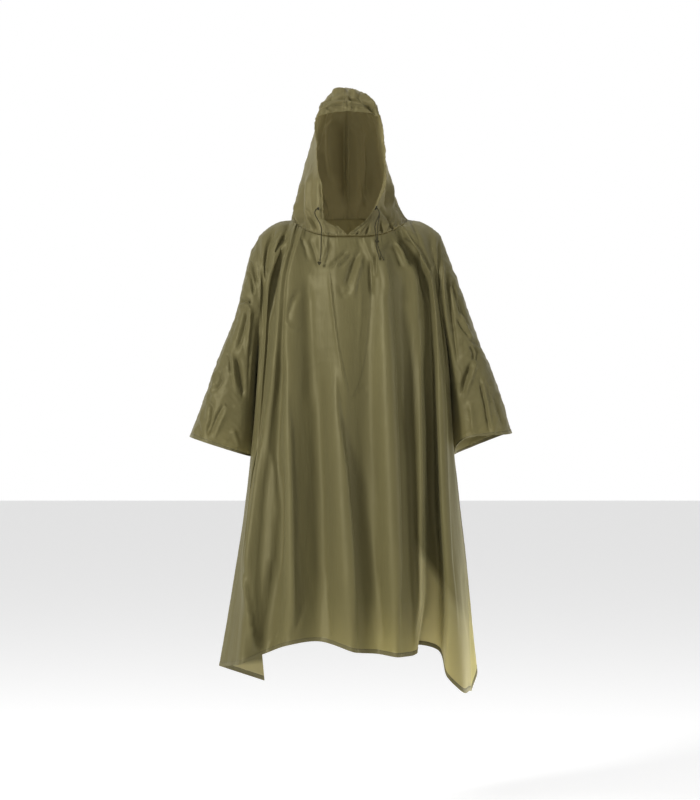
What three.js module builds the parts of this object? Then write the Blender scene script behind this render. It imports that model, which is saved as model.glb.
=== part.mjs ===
import * as THREE from 'three';

// A hooded rain poncho in its worn form, as if on a wearer who isn't there.
// Millimetres. X runs to the right as seen from the front, Y to the back, Z up.
// The origin is between the wearer's shoulders, at the root of the neck.

// Cloth and sewing
const WALL = 1.8;
const SEAM_GAP = 0.3;
const FLAP_WALL = 1.4;
const FLAP_GAP = 1.1;
const CORD_DIAMETER = 2.6;
const CORD_SIDES = 8;
const EYELET_WIRE = 1.1;
const LOOP_WIRE = 1.3;
const CORD_STEP = 7;

// Shoulders and armholes
const SHOULDER_TIP_X = 218;
const SHOULDER_TIP_Z = -10;
const NECK_SIDE_X = 140;
const NECK_SIDE_Z = 28;
const NECK_FRONT_Y = -112;
const NECK_FRONT_Z = -20;
const NECK_BACK_Y = 95;
const NECK_BACK_Z = 38;
const SHOULDER_ROUNDING = 95;
const UNDERARM_Z = -330;
const ARMHOLE_FRONT = 70;
const ARMHOLE_BACK = 74;
const UNDERARM_CLEARANCE = 9;

// Rows of cells down the panels, above and below the underarm
const ROWS_ABOVE = 9;
const ROWS_BELOW = 13;
const SLEEVE_ROWS = 9;
const HOOD_ROWS = 15;
const HOOD_COLUMNS = 14;
// The gathered neck seam holds the hood this far off the body, on its straight cells
const HOOD_LIFT = 0.8;

// The body's reach at each height, from the middle to the sides, the front and the back
const BODY_SECTIONS = [
  { height: 30, left: 214, right: 214, front: 104, back: 88 },
  { height: -60, left: 218, right: 218, front: 118, back: 100 },
  { height: -130, left: 224, right: 224, front: 135, back: 118 },
  { height: -300, left: 232, right: 244, front: 150, back: 124 },
  { height: -480, left: 244, right: 256, front: 165, back: 132 },
  { height: -660, left: 264, right: 272, front: 182, back: 147 },
  { height: -840, left: 292, right: 290, front: 200, back: 166 },
  { height: -1000, left: 320, right: 312, front: 216, back: 186 },
  { height: -1110, left: 332, right: 322, front: 226, back: 194 },
];
const SECTION_POWER = 2.5;

// The heights of the columns across and out below. The last value of a row is at its own hem.
const FOLD_HEIGHTS = [-130, -300, -480, -660, -840];

// The front's folds from the left side seam to the right one. top: where the fold starts on the
// shoulder or neck edge. across: its X at each height. out: how far it stands out of the body's
// section, or fore: its Y. hem: the height of its hem. cells: cells up to the next fold.
const FRONT_FOLDS = [
  { name: 'left_seam', top: -218, across: [-212, -220, -223, -236, -226, -206],
    fore: [0, 0, 0, 0, -2, -2], hem: -1076, cells: 4 },
  { name: 'left_roll', top: -210, across: [-206, -214, -230, -250, -277, -309],
    fore: [-68, -78, -70, -66, -74, -84], hem: -1032, cells: 2 },
  { name: 'left_shoulder_valley', top: -182, across: [-199, -208, -221, -244, -270, -301],
    out: [-4, -6, -4, 0, 0, 0], hem: -1031, cells: 1 },
  { name: 'left_shoulder_ridge', top: -160, across: [-191, -203, -217, -238, -264, -291],
    out: [2, -2, -2, 0, 2, 2], hem: -1028, cells: 2 },
  { name: 'left_neck_valley', top: -136, across: [-182, -197, -211, -230, -252, -272],
    out: [-12, -14, -10, -4, 2, 4], hem: -1023, cells: 2 },
  { name: 'left_ridge', top: -128, across: [-164, -176, -203, -221, -239, -250],
    out: [12, 14, 10, 10, 12, 12], hem: -1016, cells: 2 },
  { name: 'left_groove', top: -121, across: [-152, -161, -168, -158, -167, -194],
    out: [4, 2, -8, -12, -14, -18], hem: -993, cells: 2 },
  { name: 'left_second_ridge', top: -113, across: [-143, -143, -140, -131, -126, -146],
    out: [8, 10, 10, 10, 12, 14], hem: -971, cells: 3 },
  { name: 'left_valley', top: -98, across: [-110, -105, -96, -86, -84, -76],
    out: [-8, -14, -18, -20, -24, -28], hem: -964, cells: 4 },
  { name: 'middle_ridge', top: -30, across: [-28, -26, -23, -19, 0, 0],
    out: [6, 8, 14, 18, 24, 28], hem: -984, cells: 2 },
  { name: 'middle_edge', top: -8, across: [18, 13, 5, 5, 16, 22],
    out: [2, 2, 4, 2, 2, -4], hem: -988, cells: 2 },
  { name: 'middle_valley', top: 16, across: [49, 42, 40, 45, 40, 40],
    out: [-2, -2, -6, -8, -12, -16], hem: -991, cells: 4 },
  { name: 'right_ridge', top: 62, across: [84, 98, 100, 109, 116, 109],
    out: [12, 14, 18, 20, 26, 30], hem: -996, cells: 2 },
  { name: 'right_edge', top: 76, across: [108, 119, 121, 128, 132, 137],
    out: [4, 2, 4, 4, 8, 12], hem: -997, cells: 1 },
  { name: 'right_valley', top: 86, across: [141, 140, 142, 149, 147, 148],
    out: [-8, -8, -8, -8, -6, 2], hem: -995, cells: 1 },
  { name: 'pleat_lip', top: 97, across: [158, 163, 168, 166, 167, 155],
    out: [-6, -4, 4, 4, 4, 0], hem: -991, cells: 2 },
  { name: 'pleat_left', top: 106, across: [170, 182, 187, 184, 186, 163],
    out: [-22, -24, -34, -44, -60, -78], hem: -979, cells: 2 },
  { name: 'pleat_right', top: 113, across: [183, 194, 198, 202, 210, 209],
    out: [-24, -26, -40, -52, -62, -62], hem: -993, cells: 2 },
  { name: 'corner_edge', top: 124, across: [195, 208, 213, 219, 230, 226],
    out: [8, 8, 10, 12, 6, -8], hem: -1048, cells: 2 },
  { name: 'corner_ridge', top: 154, across: [201, 218, 226, 235, 247, 252],
    out: [3, 4, 6, 8, 8, 4], hem: -1076, cells: 1 },
  { name: 'right_shoulder_valley', top: 186, across: [205, 223, 232, 242, 256, 266],
    out: [-6, -6, -2, 2, 4, 0], hem: -1088, cells: 1 },
  { name: 'right_roll', top: 208, across: [209, 230, 243, 257, 273, 283],
    fore: [-66, -74, -68, -64, -62, -62], hem: -1094, cells: 3 },
  { name: 'right_seam', top: 218, across: [214, 232, 240, 262, 281, 291],
    fore: [0, 0, 0, 0, -6, -12], hem: -1100, cells: 0 },
];

// The back's folds, in the same terms
const BACK_FOLDS = [
  { name: 'left_seam', top: -218, across: [-212, -220, -223, -236, -226, -206],
    fore: [0, 0, 0, 0, -2, -2], hem: -1076, cells: 3 },
  { name: 'left_roll', top: -206, across: [-207, -216, -234, -249, -262, -268],
    fore: [64, 70, 64, 62, 64, 60], hem: -1030, cells: 2 },
  { name: 'left_ridge', top: -176, across: [-184, -190, -198, -210, -226, -240],
    out: [4, 6, 8, 10, 14, 14], hem: -1004, cells: 2 },
  { name: 'left_valley', top: -142, across: [-150, -153, -156, -160, -167, -174],
    out: [-6, -8, -12, -18, -24, -30], hem: -986, cells: 3 },
  { name: 'left_inner_ridge', top: -108, across: [-112, -110, -110, -112, -115, -120],
    out: [8, 10, 12, 16, 22, 28], hem: -976, cells: 3 },
  { name: 'left_inner_valley', top: -74, across: [-70, -66, -62, -59, -57, -55],
    out: [-4, -7, -12, -17, -24, -30], hem: -970, cells: 3 },
  { name: 'middle_ridge', top: -30, across: [-24, -18, -12, -8, -4, 2],
    out: [6, 8, 14, 20, 27, 34], hem: -973, cells: 3 },
  { name: 'middle_valley', top: 18, across: [26, 32, 38, 44, 50, 56],
    out: [-3, -6, -11, -16, -21, -27], hem: -970, cells: 3 },
  { name: 'right_inner_ridge', top: 64, across: [74, 80, 86, 93, 99, 107],
    out: [8, 9, 14, 18, 23, 30], hem: -975, cells: 3 },
  { name: 'right_valley', top: 106, across: [120, 128, 136, 144, 152, 159],
    out: [-5, -8, -12, -19, -26, -33], hem: -988, cells: 3 },
  { name: 'right_ridge', top: 150, across: [166, 180, 190, 200, 213, 224],
    out: [7, 8, 9, 12, 14, 18], hem: -1010, cells: 3 },
  { name: 'right_roll', top: 204, across: [209, 228, 245, 263, 283, 306],
    fore: [64, 70, 62, 58, 52, 46], hem: -1050, cells: 3 },
  { name: 'right_seam', top: 218, across: [214, 232, 240, 262, 281, 291],
    fore: [0, 0, 0, 0, -6, -12], hem: -1100, cells: 0 },
];

// The edges of the flap over the neck opening, from the neck down to its tip
const FLAP_EDGE = [
  { height: -56, left: -60, right: 56 }, { height: -108, left: -50, right: 52 },
  { height: -180, left: -42, right: 49 }, { height: -258, left: -31, right: 42 },
  { height: -321, left: -17, right: 33 }, { height: -368, left: -6, right: 19 },
  { height: -395, left: -1, right: 8 },
];
const FLAP_FIRST_ROW = 2;
const FLAP_LAST_ROW = 10;
const FLAP_COLUMNS = 14;

// The sleeves' outer line, from the shoulder tip to the cuff
const LEFT_SLEEVE_OUTER = [
  { height: -10, reach: -218 }, { height: -55, reach: -240 }, { height: -127, reach: -257 },
  { height: -199, reach: -274 }, { height: -271, reach: -303 }, { height: -343, reach: -330 },
  { height: -415, reach: -355 }, { height: -490, reach: -384 },
];
const RIGHT_SLEEVE_OUTER = [
  { height: -10, reach: 218 }, { height: -55, reach: 235 }, { height: -127, reach: 262 },
  { height: -199, reach: 287 }, { height: -271, reach: 313 }, { height: -343, reach: 344 },
  { height: -415, reach: 368 }, { height: -482, reach: 387 },
];
// Each sleeve's inner line ends at the cuff here, and its cuff is this far to the front and back
const LEFT_CUFF = { side: -1, innerX: -238, innerZ: -538, front: 104, back: 108, lift: 0 };
const RIGHT_CUFF = { side: 1, innerX: 256, innerZ: -536, front: 104, back: 108, lift: 44 };

// The hood's face opening, from the chin to the brow, as half widths left and right
const FACE_EDGE = [
  { height: -14, left: 2, right: 2, fore: -116 },
  { height: 2, left: 26, right: 16, fore: -117 },
  { height: 15, left: 58, right: 34, fore: -114 },
  { height: 60, left: 71, right: 66, fore: -107 },
  { height: 103, left: 74, right: 85, fore: -101 },
  { height: 154, left: 77, right: 84, fore: -98 },
  { height: 206, left: 82, right: 84, fore: -97 },
  { height: 250, left: 84, right: 79, fore: -96 },
  { height: 276, left: 76, right: 70, fore: -96 },
  { height: 286, left: 46, right: 42, fore: -97 },
  { height: 288, left: 2, right: 2, fore: -98 },
];
// The hood's middle seam from the brow over the crown to the neck
const HOOD_MIDDLE = [
  { fore: -98, height: 288 }, { fore: -78, height: 318 }, { fore: -36, height: 340 },
  { fore: 10, height: 346 }, { fore: 60, height: 336 }, { fore: 104, height: 304 },
  { fore: 132, height: 250 }, { fore: 141, height: 190 }, { fore: 136, height: 130 },
  { fore: 118, height: 78 }, { fore: 95, height: 38 },
];
const HOOD_MIDDLE_X = -6;
const HOOD_BULGE = { left: 26, right: 9 };
const HOOD_CROWN_POWER = 2;
const HOOD_BROW_POWER = 2.8;

// The eyelets by the face edge: how far along the hood's width and up its edge
// A ring stands off the cloth by clear, so that it is free of the hood's straight cells.
const LEFT_EYELET = { side: -1, along: 0.065, up: 0.21, radius: 2.8, clear: 0.6 };
const RIGHT_EYELET = { side: 1, along: 0.065, up: 0.2, radius: 4.6, clear: 1.9 };
// The drawcord's free ends hang from the eyelets. Each row is a point below the eyelet's bend.
const LEFT_CORD = [
  { x: -68, y: -123, z: 4 }, { x: -68, y: -126, z: -30 }, { x: -68.5, y: -128, z: -60 },
  { x: -70.5, y: -130, z: -76 },
];
const RIGHT_CORD_A = [
  { x: 59, y: -123, z: 8 }, { x: 61.5, y: -126, z: -24 }, { x: 61.6, y: -128, z: -36 },
  { x: 64, y: -130, z: -52 }, { x: 70, y: -133, z: -74 },
];
const RIGHT_CORD_B = [
  { x: 65.5, y: -123, z: 8 }, { x: 64.5, y: -126, z: -24 }, { x: 64.6, y: -128, z: -36 },
  { x: 69.5, y: -130, z: -52 }, { x: 79, y: -133, z: -75 },
];

const CLOTH = { color: 0x5c5638, roughness: 0.42, metalness: 0 };
const CORD = { color: 0x2c2919, roughness: 0.8, metalness: 0 };
const METAL = { color: 0x24221a, roughness: 0.45, metalness: 0.6 };

const poncho = new THREE.Group();
poncho.name = 'rain_poncho';

// A smooth curve through a table's points that never overshoots them
function smooth(xs, ys, x) {
  const last = xs.length - 1;
  const rising = xs[last] > xs[0];
  const beyond = (a, b) => (rising ? a <= b : a >= b);
  if (beyond(x, xs[0])) return ys[0];
  if (beyond(xs[last], x)) return ys[last];
  let i = 0;
  while (i < last - 1 && !beyond(x, xs[i + 1])) i += 1;
  const slope = (k) => (ys[k + 1] - ys[k]) / (xs[k + 1] - xs[k]);
  const tangent = (k) => {
    if (k === 0) return slope(0);
    if (k === last) return slope(last - 1);
    const before = slope(k - 1);
    const after = slope(k);
    return before * after <= 0 ? 0 : (2 * before * after) / (before + after);
  };
  const width = xs[i + 1] - xs[i];
  const f = (x - xs[i]) / width;
  const g = 1 - f;
  return ys[i] * (1 + 2 * f) * g * g + ys[i + 1] * (3 - 2 * f) * f * f
    + width * f * g * (tangent(i) * g - tangent(i + 1) * f);
}

function fromTable(table, key, column, value) {
  return smooth(table.map((row) => row[key]), table.map((row) => row[column]), value);
}

function mix(a, b, f) {
  return a + (b - a) * f;
}

// The shoulder seams and the neck edge: Y and height for an X, on the front or the back
function topEdge(x, front) {
  const reach = Math.abs(x);
  if (reach >= NECK_SIDE_X) {
    const f = (reach - NECK_SIDE_X) / (SHOULDER_TIP_X - NECK_SIDE_X);
    return { y: 0, z: mix(NECK_SIDE_Z, SHOULDER_TIP_Z, f ** 2.2) };
  }
  const round = Math.sqrt(1 - (reach / NECK_SIDE_X) ** 2);
  if (front) {
    const z = NECK_FRONT_Z + (NECK_SIDE_Z - NECK_FRONT_Z) * (reach / NECK_SIDE_X) ** 3;
    return { y: NECK_FRONT_Y * round, z };
  }
  return { y: NECK_BACK_Y * round, z: mix(NECK_SIDE_Z, NECK_BACK_Z, round * round) };
}

// The plain body without its folds: Y at an X and height
function bodyDepth(x, z, front) {
  const reach = fromTable(BODY_SECTIONS, 'height', x < 0 ? 'left' : 'right', z);
  const depth = fromTable(BODY_SECTIONS, 'height', front ? 'front' : 'back', z);
  const f = Math.min(Math.abs(x) / reach, 1);
  const round = (1 - f ** SECTION_POWER) ** (1 / SECTION_POWER);
  return front ? -depth * round : depth * round;
}

// One fold's point. above is 0 at the top edge and 1 at the underarm, below 0 there and 1 at the hem.
function foldPoint(fold, above, below, front) {
  const edge = topEdge(fold.top, front);
  const lowered = (1 - Math.cos(Math.PI * above)) / 2;
  const z = below > 0 ? mix(UNDERARM_Z, fold.hem, below) : mix(edge.z, UNDERARM_Z, lowered);
  const heights = [edge.z, ...FOLD_HEIGHTS, fold.hem];
  const x = smooth(heights, [fold.top, ...fold.across], z);
  const outward = front ? -1 : 1;
  if (fold.name.endsWith('_seam')) {
    const armhole = outward * (front ? ARMHOLE_FRONT : ARMHOLE_BACK) * Math.sin(Math.PI * above);
    const seam = smooth([UNDERARM_Z, ...FOLD_HEIGHTS.slice(2), fold.hem], [0, ...fold.fore.slice(2)], z);
    return new THREE.Vector3(x, below > 0 ? seam : armhole, z);
  }
  const settled = fold.fore
    ? smooth(FOLD_HEIGHTS.concat(fold.hem), fold.fore, z)
    : bodyDepth(x, z, front) + outward * smooth(FOLD_HEIGHTS.concat(fold.hem), fold.out, z);
  const fallen = Math.min((edge.z - z) / SHOULDER_ROUNDING, 1);
  const ramp = Math.sqrt(1 - (1 - fallen) ** 2);
  return new THREE.Vector3(x, mix(edge.y, settled, ramp), z);
}

// A panel's points in rows from the top edge down, each row from the left side seam to the right
function panelRows(folds, front) {
  const rows = [];
  for (let r = 0; r <= ROWS_ABOVE + ROWS_BELOW; r += 1) {
    const above = Math.min(r / ROWS_ABOVE, 1);
    const below = Math.max((r - ROWS_ABOVE) / ROWS_BELOW, 0);
    const points = folds.map((fold) => foldPoint(fold, above, below, front));
    const curve = new THREE.CatmullRomCurve3(points, false, 'centripetal');
    const row = [];
    folds.forEach((fold, i) => {
      for (let c = 0; c < fold.cells; c += 1) {
        row.push(curve.getPoint((i + c / fold.cells) / (folds.length - 1)));
      }
    });
    row.push(points[points.length - 1]);
    rows.push(row);
  }
  // The smooth rows swing past the corner of shoulder seam and neck edge, so the top rows are set back on them
  const setBack = rows[0].map((p) => {
    const edge = topEdge(p.x, front);
    return new THREE.Vector3(0, edge.y - p.y, edge.z - p.z);
  });
  rows.forEach((row, r) => {
    const share = (1 - Math.min(r / ROWS_ABOVE, 1)) ** 4;
    row.forEach((p, c) => p.addScaledVector(setBack[c], share));
  });
  return rows;
}

// Outward normals of a grid of points, whose rows run down and columns to the right
function gridNormals(rows, closed) {
  const lastRow = rows.length - 1;
  const columns = rows[0].length;
  return rows.map((row, r) => row.map((point, c) => {
    const up = rows[Math.max(r - 1, 0)][c];
    const down = rows[Math.min(r + 1, lastRow)][c];
    const left = closed ? row[(c + columns - 1) % columns] : row[Math.max(c - 1, 0)];
    const right = closed ? row[(c + 1) % columns] : row[Math.min(c + 1, columns - 1)];
    const along = right.clone().sub(left);
    return down.clone().sub(up).cross(along).normalize();
  }));
}

// A closed wall between two grids of points
function wallSolid(outer, inner, closed) {
  const rowCount = outer.length;
  const columns = outer[0].length;
  const positions = [];
  outer.flat().forEach((p) => positions.push(p.x, p.y, p.z));
  inner.flat().forEach((p) => positions.push(p.x, p.y, p.z));
  const away = rowCount * columns;
  const at = (r, c) => r * columns + (c % columns);
  const index = [];
  const quad = (a, b, c, d) => index.push(a, b, c, a, c, d);
  const cells = closed ? columns : columns - 1;
  for (let r = 0; r < rowCount - 1; r += 1) {
    for (let c = 0; c < cells; c += 1) {
      quad(at(r, c), at(r + 1, c), at(r + 1, c + 1), at(r, c + 1));
      quad(away + at(r, c), away + at(r, c + 1), away + at(r + 1, c + 1), away + at(r + 1, c));
    }
  }
  for (let c = 0; c < cells; c += 1) {
    quad(at(0, c), at(0, c + 1), away + at(0, c + 1), away + at(0, c));
    const r = rowCount - 1;
    quad(at(r, c + 1), at(r, c), away + at(r, c), away + at(r, c + 1));
  }
  if (!closed) {
    const c = columns - 1;
    for (let r = 0; r < rowCount - 1; r += 1) {
      quad(at(r + 1, 0), at(r, 0), away + at(r, 0), away + at(r + 1, 0));
      quad(at(r, c), at(r + 1, c), away + at(r + 1, c), away + at(r, c));
    }
  }
  const geometry = new THREE.BufferGeometry();
  geometry.setAttribute('position', new THREE.Float32BufferAttribute(positions, 3));
  geometry.setIndex(index);
  geometry.computeVertexNormals();
  return geometry;
}

function moved(rows, normals, distance) {
  return rows.map((row, r) => row.map((p, c) => p.clone().addScaledVector(normals[r][c], distance)));
}

function add(name, geometry, look) {
  const mesh = new THREE.Mesh(geometry, new THREE.MeshStandardMaterial({ ...look }));
  mesh.name = name;
  poncho.add(mesh);
}

function flattened(normal, axis) {
  normal[axis] = 0;
  normal.normalize();
}

// Front and back panels. Their seam edges are squared to the seam and held half a gap off it.
function panel(name, folds, front) {
  const rows = panelRows(folds, front);
  if (!front) rows.forEach((row) => row.reverse());
  const normals = gridNormals(rows, false);
  const lastColumn = rows[0].length - 1;
  const off = (front ? -1 : 1) * SEAM_GAP / 2;
  rows.forEach((row, r) => {
    [0, lastColumn].forEach((c) => {
      flattened(normals[r][c], r < ROWS_ABOVE && r > 0 ? 'x' : 'y');
      row[c].y += off;
    });
  });
  rows[0].forEach((point, c) => {
    if (Math.abs(point.x) >= NECK_SIDE_X - 1) {
      flattened(normals[0][c], 'y');
      if (c > 0 && c < lastColumn) point.y += off;
    }
  });
  add(name, wallSolid(rows, moved(rows, normals, -WALL), false), CLOTH);
  return { rows, normals };
}

const frontPanel = panel('front_panel', FRONT_FOLDS, true);
const backPanel = panel('back_panel', BACK_FOLDS, false);

// The flap over the neck opening, on the panel's own points moved out, with its tip below
const flapRows = [];
const flapNormals = [];
for (let r = FLAP_FIRST_ROW; r <= FLAP_LAST_ROW; r += 1) {
  const row = frontPanel.rows[r];
  const normals = frontPanel.normals[r];
  const height = row[Math.floor(row.length / 2)].z;
  const left = fromTable(FLAP_EDGE, 'height', 'left', height);
  const right = fromTable(FLAP_EDGE, 'height', 'right', height);
  flapRows.push([]);
  flapNormals.push([]);
  for (let c = 0; c <= FLAP_COLUMNS; c += 1) {
    const x = mix(left, right, c / FLAP_COLUMNS);
    const after = row.findIndex((point) => point.x > x);
    const f = (x - row[after - 1].x) / (row[after].x - row[after - 1].x);
    flapRows[flapRows.length - 1].push(row[after - 1].clone().lerp(row[after], f));
    flapNormals[flapNormals.length - 1].push(normals[after - 1].clone().lerp(normals[after], f).normalize());
  }
}
add('front_flap', wallSolid(
  moved(flapRows, flapNormals, FLAP_GAP + FLAP_WALL),
  moved(flapRows, flapNormals, FLAP_GAP),
  false,
), CLOTH);

// Sleeves: closed rings from the armhole to the cuff
function sleeve(name, outerLine, cuff) {
  const sideColumn = cuff.side < 0 ? 0 : frontPanel.rows[0].length - 1;
  const backColumn = backPanel.rows[0].length - 1 - (cuff.side < 0 ? 0 : backPanel.rows[0].length - 1);
  const ringSize = 2 * ROWS_ABOVE;
  const armhole = [];
  for (let m = 0; m < ringSize; m += 1) {
    const front = m <= ROWS_ABOVE;
    const point = front ? frontPanel.rows[m][sideColumn] : backPanel.rows[ringSize - m][backColumn];
    armhole.push(point.clone());
  }
  armhole[0].y = 0;
  armhole[ROWS_ABOVE].y = 0;
  const cuffOuter = outerLine[outerLine.length - 1];
  const underarm = armhole[ROWS_ABOVE];
  const ringPoint = (k, m) => {
    const z = mix(SHOULDER_TIP_Z, cuffOuter.height, k);
    const outer = new THREE.Vector3(fromTable(outerLine, 'height', 'reach', z), 0, z);
    const clear = cuff.side * UNDERARM_CLEARANCE * Math.min(5 * k, 1);
    const innerX = mix(underarm.x, cuff.innerX, k) + clear * (1 - k);
    const inner = new THREE.Vector3(innerX, 0, mix(UNDERARM_Z, cuff.innerZ, k));
    const angle = (Math.PI * m) / ROWS_ABOVE;
    const middle = outer.clone().add(inner).multiplyScalar(0.5);
    const half = outer.clone().sub(inner).multiplyScalar(0.5);
    const depth = Math.sin(angle) > 0
      ? -mix(ARMHOLE_FRONT, cuff.front, k)
      : -mix(ARMHOLE_BACK, cuff.back, k);
    const point = middle.addScaledVector(half, Math.cos(angle));
    point.y = depth * Math.sin(angle);
    point.z += cuff.lift * k * k * Math.max(Math.sin(angle), 0) * 0.5 * (1 - Math.cos(angle));
    return point;
  };
  const rows = [];
  for (let r = 0; r <= SLEEVE_ROWS; r += 1) {
    const k = r / SLEEVE_ROWS;
    const row = armhole.map((start, m) => {
      const shift = start.clone().sub(ringPoint(0, m)).multiplyScalar((1 - k) ** 2);
      const point = ringPoint(k, m).add(shift);
      point.x += cuff.side * SEAM_GAP;
      return point;
    });
    if (cuff.side > 0) row.reverse();
    rows.push(row);
  }
  rows.forEach((row) => row.reverse());
  const normals = gridNormals(rows, true);
  normals[0].forEach((normal) => flattened(normal, 'x'));
  add(name, wallSolid(rows, moved(rows, normals, -WALL), true), CLOTH);
}

sleeve('sleeve_left', LEFT_SLEEVE_OUTER, LEFT_CUFF);
sleeve('sleeve_right', RIGHT_SLEEVE_OUTER, RIGHT_CUFF);

// The hood: each half is a patch between the face edge, the middle seam and the neck edge
function alongCurve(points) {
  const curve = new THREE.CatmullRomCurve3(points, false, 'centripetal');
  curve.arcLengthDivisions = 400;
  return (f) => curve.getPointAt(Math.min(Math.max(f, 0), 1));
}

function hoodCurves(side) {
  const width = side < 0 ? 'left' : 'right';
  const face = alongCurve(FACE_EDGE.map((row, i) => new THREE.Vector3(
    i === 0 || i === FACE_EDGE.length - 1 ? HOOD_MIDDLE_X : side * row[width],
    row.fore,
    row.height,
  )));
  const middle = alongCurve(HOOD_MIDDLE.map((row) => new THREE.Vector3(HOOD_MIDDLE_X, row.fore, row.height)));
  const neck = (front) => {
    const points = [];
    for (let i = 0; i <= 12; i += 1) {
      const turn = (Math.PI * i) / 24;
      const x = front ? side * NECK_SIDE_X * Math.sin(turn) : side * NECK_SIDE_X * Math.cos(turn);
      const edge = topEdge(x, front);
      points.push(new THREE.Vector3(x, edge.y, edge.z));
    }
    return alongCurve(points);
  };
  return { face, middle, neckFront: neck(true), neckBack: neck(false), side };
}

// along runs from the face edge to the back of the neck, up from the neck edge to the middle seam
function hoodPoint(curves, along, up) {
  const { face, middle, neckFront, neckBack, side } = curves;
  const patch = (axis, rise, far) => (1 - far) * face(up)[axis] + far * neckBack(up)[axis]
    + (1 - rise) * (neckFront(along)[axis] - (1 - far) * neckFront(0)[axis] - far * neckFront(1)[axis])
    + rise * (middle(along)[axis] - (1 - far) * face(1)[axis] - far * neckBack(1)[axis]);
  // Across, the arches leave the middle seam square to it, so they are round over the head
  const turn = (Math.PI * up) / 2;
  const bulge = HOOD_BULGE[side < 0 ? 'left' : 'right'] * Math.sin(Math.PI * along) * Math.sin(Math.PI * up)
    * 2 * (1 - up);
  const x = patch('x', 1 - Math.cos(turn) ** HOOD_CROWN_POWER, 1 - (1 - along) ** HOOD_BROW_POWER) + side * bulge;
  return new THREE.Vector3(x, patch('y', Math.sin(turn), along), patch('z', Math.sin(turn), along));
}

function hoodHalf(name, side) {
  const curves = hoodCurves(side);
  const rows = [];
  for (let r = 0; r <= HOOD_ROWS; r += 1) {
    const row = [];
    for (let c = 0; c <= HOOD_COLUMNS; c += 1) {
      row.push(hoodPoint(curves, c / HOOD_COLUMNS, 1 - r / HOOD_ROWS));
    }
    if (side < 0) row.reverse();
    rows.push(row);
  }
  const normals = gridNormals(rows, false);
  const faceColumn = side < 0 ? HOOD_COLUMNS : 0;
  const backColumn = HOOD_COLUMNS - faceColumn;
  rows.forEach((row, r) => {
    row[backColumn].z += HOOD_LIFT;
    flattened(normals[r][backColumn], 'z');
  });
  rows[HOOD_ROWS].forEach((point, c) => {
    if (c !== backColumn) point.z += HOOD_LIFT;
    flattened(normals[HOOD_ROWS][c], 'z');
  });
  rows[0].forEach((point, c) => {
    flattened(normals[0][c], 'x');
    point.x += side * SEAM_GAP / 2;
  });
  add(name, wallSolid(rows, moved(rows, normals, -WALL), false), CLOTH);
}

hoodHalf('hood_left', -1);
hoodHalf('hood_right', 1);

// An eyelet ring on the hood, and the point and direction its cord comes out at
function eyelet(name, place) {
  const curves = hoodCurves(place.side);
  const step = 0.06;
  const at = (along, up) => hoodPoint(curves, place.along + along, place.up + up);
  const point = at(0, 0);
  const backward = at(step, 0).sub(at(-step, 0));
  const upward = at(0, step).sub(at(0, -step));
  const normal = backward.cross(upward).multiplyScalar(place.side).normalize();
  const ring = new THREE.TorusGeometry(place.radius, EYELET_WIRE, 8, 20);
  ring.applyQuaternion(new THREE.Quaternion().setFromUnitVectors(new THREE.Vector3(0, 0, 1), normal));
  const centre = point.clone().addScaledVector(normal, EYELET_WIRE + SEAM_GAP + place.clear);
  ring.translate(centre.x, centre.y, centre.z);
  add(name, ring, METAL);
  const across = new THREE.Vector3(0, 0, 1).cross(normal).normalize();
  return { point, normal, across, clear: place.clear };
}

function cord(name, exit, aside, points) {
  const route = [[exit.clear + 0.4, 0], [5, 0], [9.5, -3], [12, -10]].map(([out, down]) => {
    const p = exit.point.clone().addScaledVector(exit.normal, out);
    p.addScaledVector(exit.across, aside);
    p.z += down;
    return p;
  });
  points.forEach((row) => route.push(new THREE.Vector3(row.x, row.y, row.z)));
  const path = new THREE.CatmullRomCurve3(route, false, 'centripetal');
  const round = new THREE.Shape();
  for (let i = 0; i < CORD_SIDES; i += 1) {
    const angle = (2 * Math.PI * i) / CORD_SIDES;
    const x = (CORD_DIAMETER / 2) * Math.cos(angle);
    const y = (CORD_DIAMETER / 2) * Math.sin(angle);
    if (i === 0) round.moveTo(x, y);
    else round.lineTo(x, y);
  }
  round.closePath();
  const steps = Math.round(path.getLength() / CORD_STEP);
  add(name, new THREE.ExtrudeGeometry(round, { steps, extrudePath: path, bevelEnabled: false }), CORD);
}

function loop(name, place, tilt) {
  const ring = new THREE.TorusGeometry(place.radius, LOOP_WIRE, 8, 16);
  ring.rotateX(tilt);
  ring.translate(place.x, place.y, place.z);
  add(name, ring, CORD);
}

const leftExit = eyelet('eyelet_left', LEFT_EYELET);
const rightExit = eyelet('eyelet_right', RIGHT_EYELET);
cord('cord_left', leftExit, 0, LEFT_CORD);
cord('cord_right_a', rightExit, -1.8, RIGHT_CORD_A);
cord('cord_right_b', rightExit, 1.8, RIGHT_CORD_B);
loop('knot_left', { radius: 3.6, x: -72, y: -130.5, z: -81.3 }, Math.PI / 2);
loop('knot_right', { radius: 4.6, x: 63.1, y: -127.1, z: -30 }, 0);

export default poncho;
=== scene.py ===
import math

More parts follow.
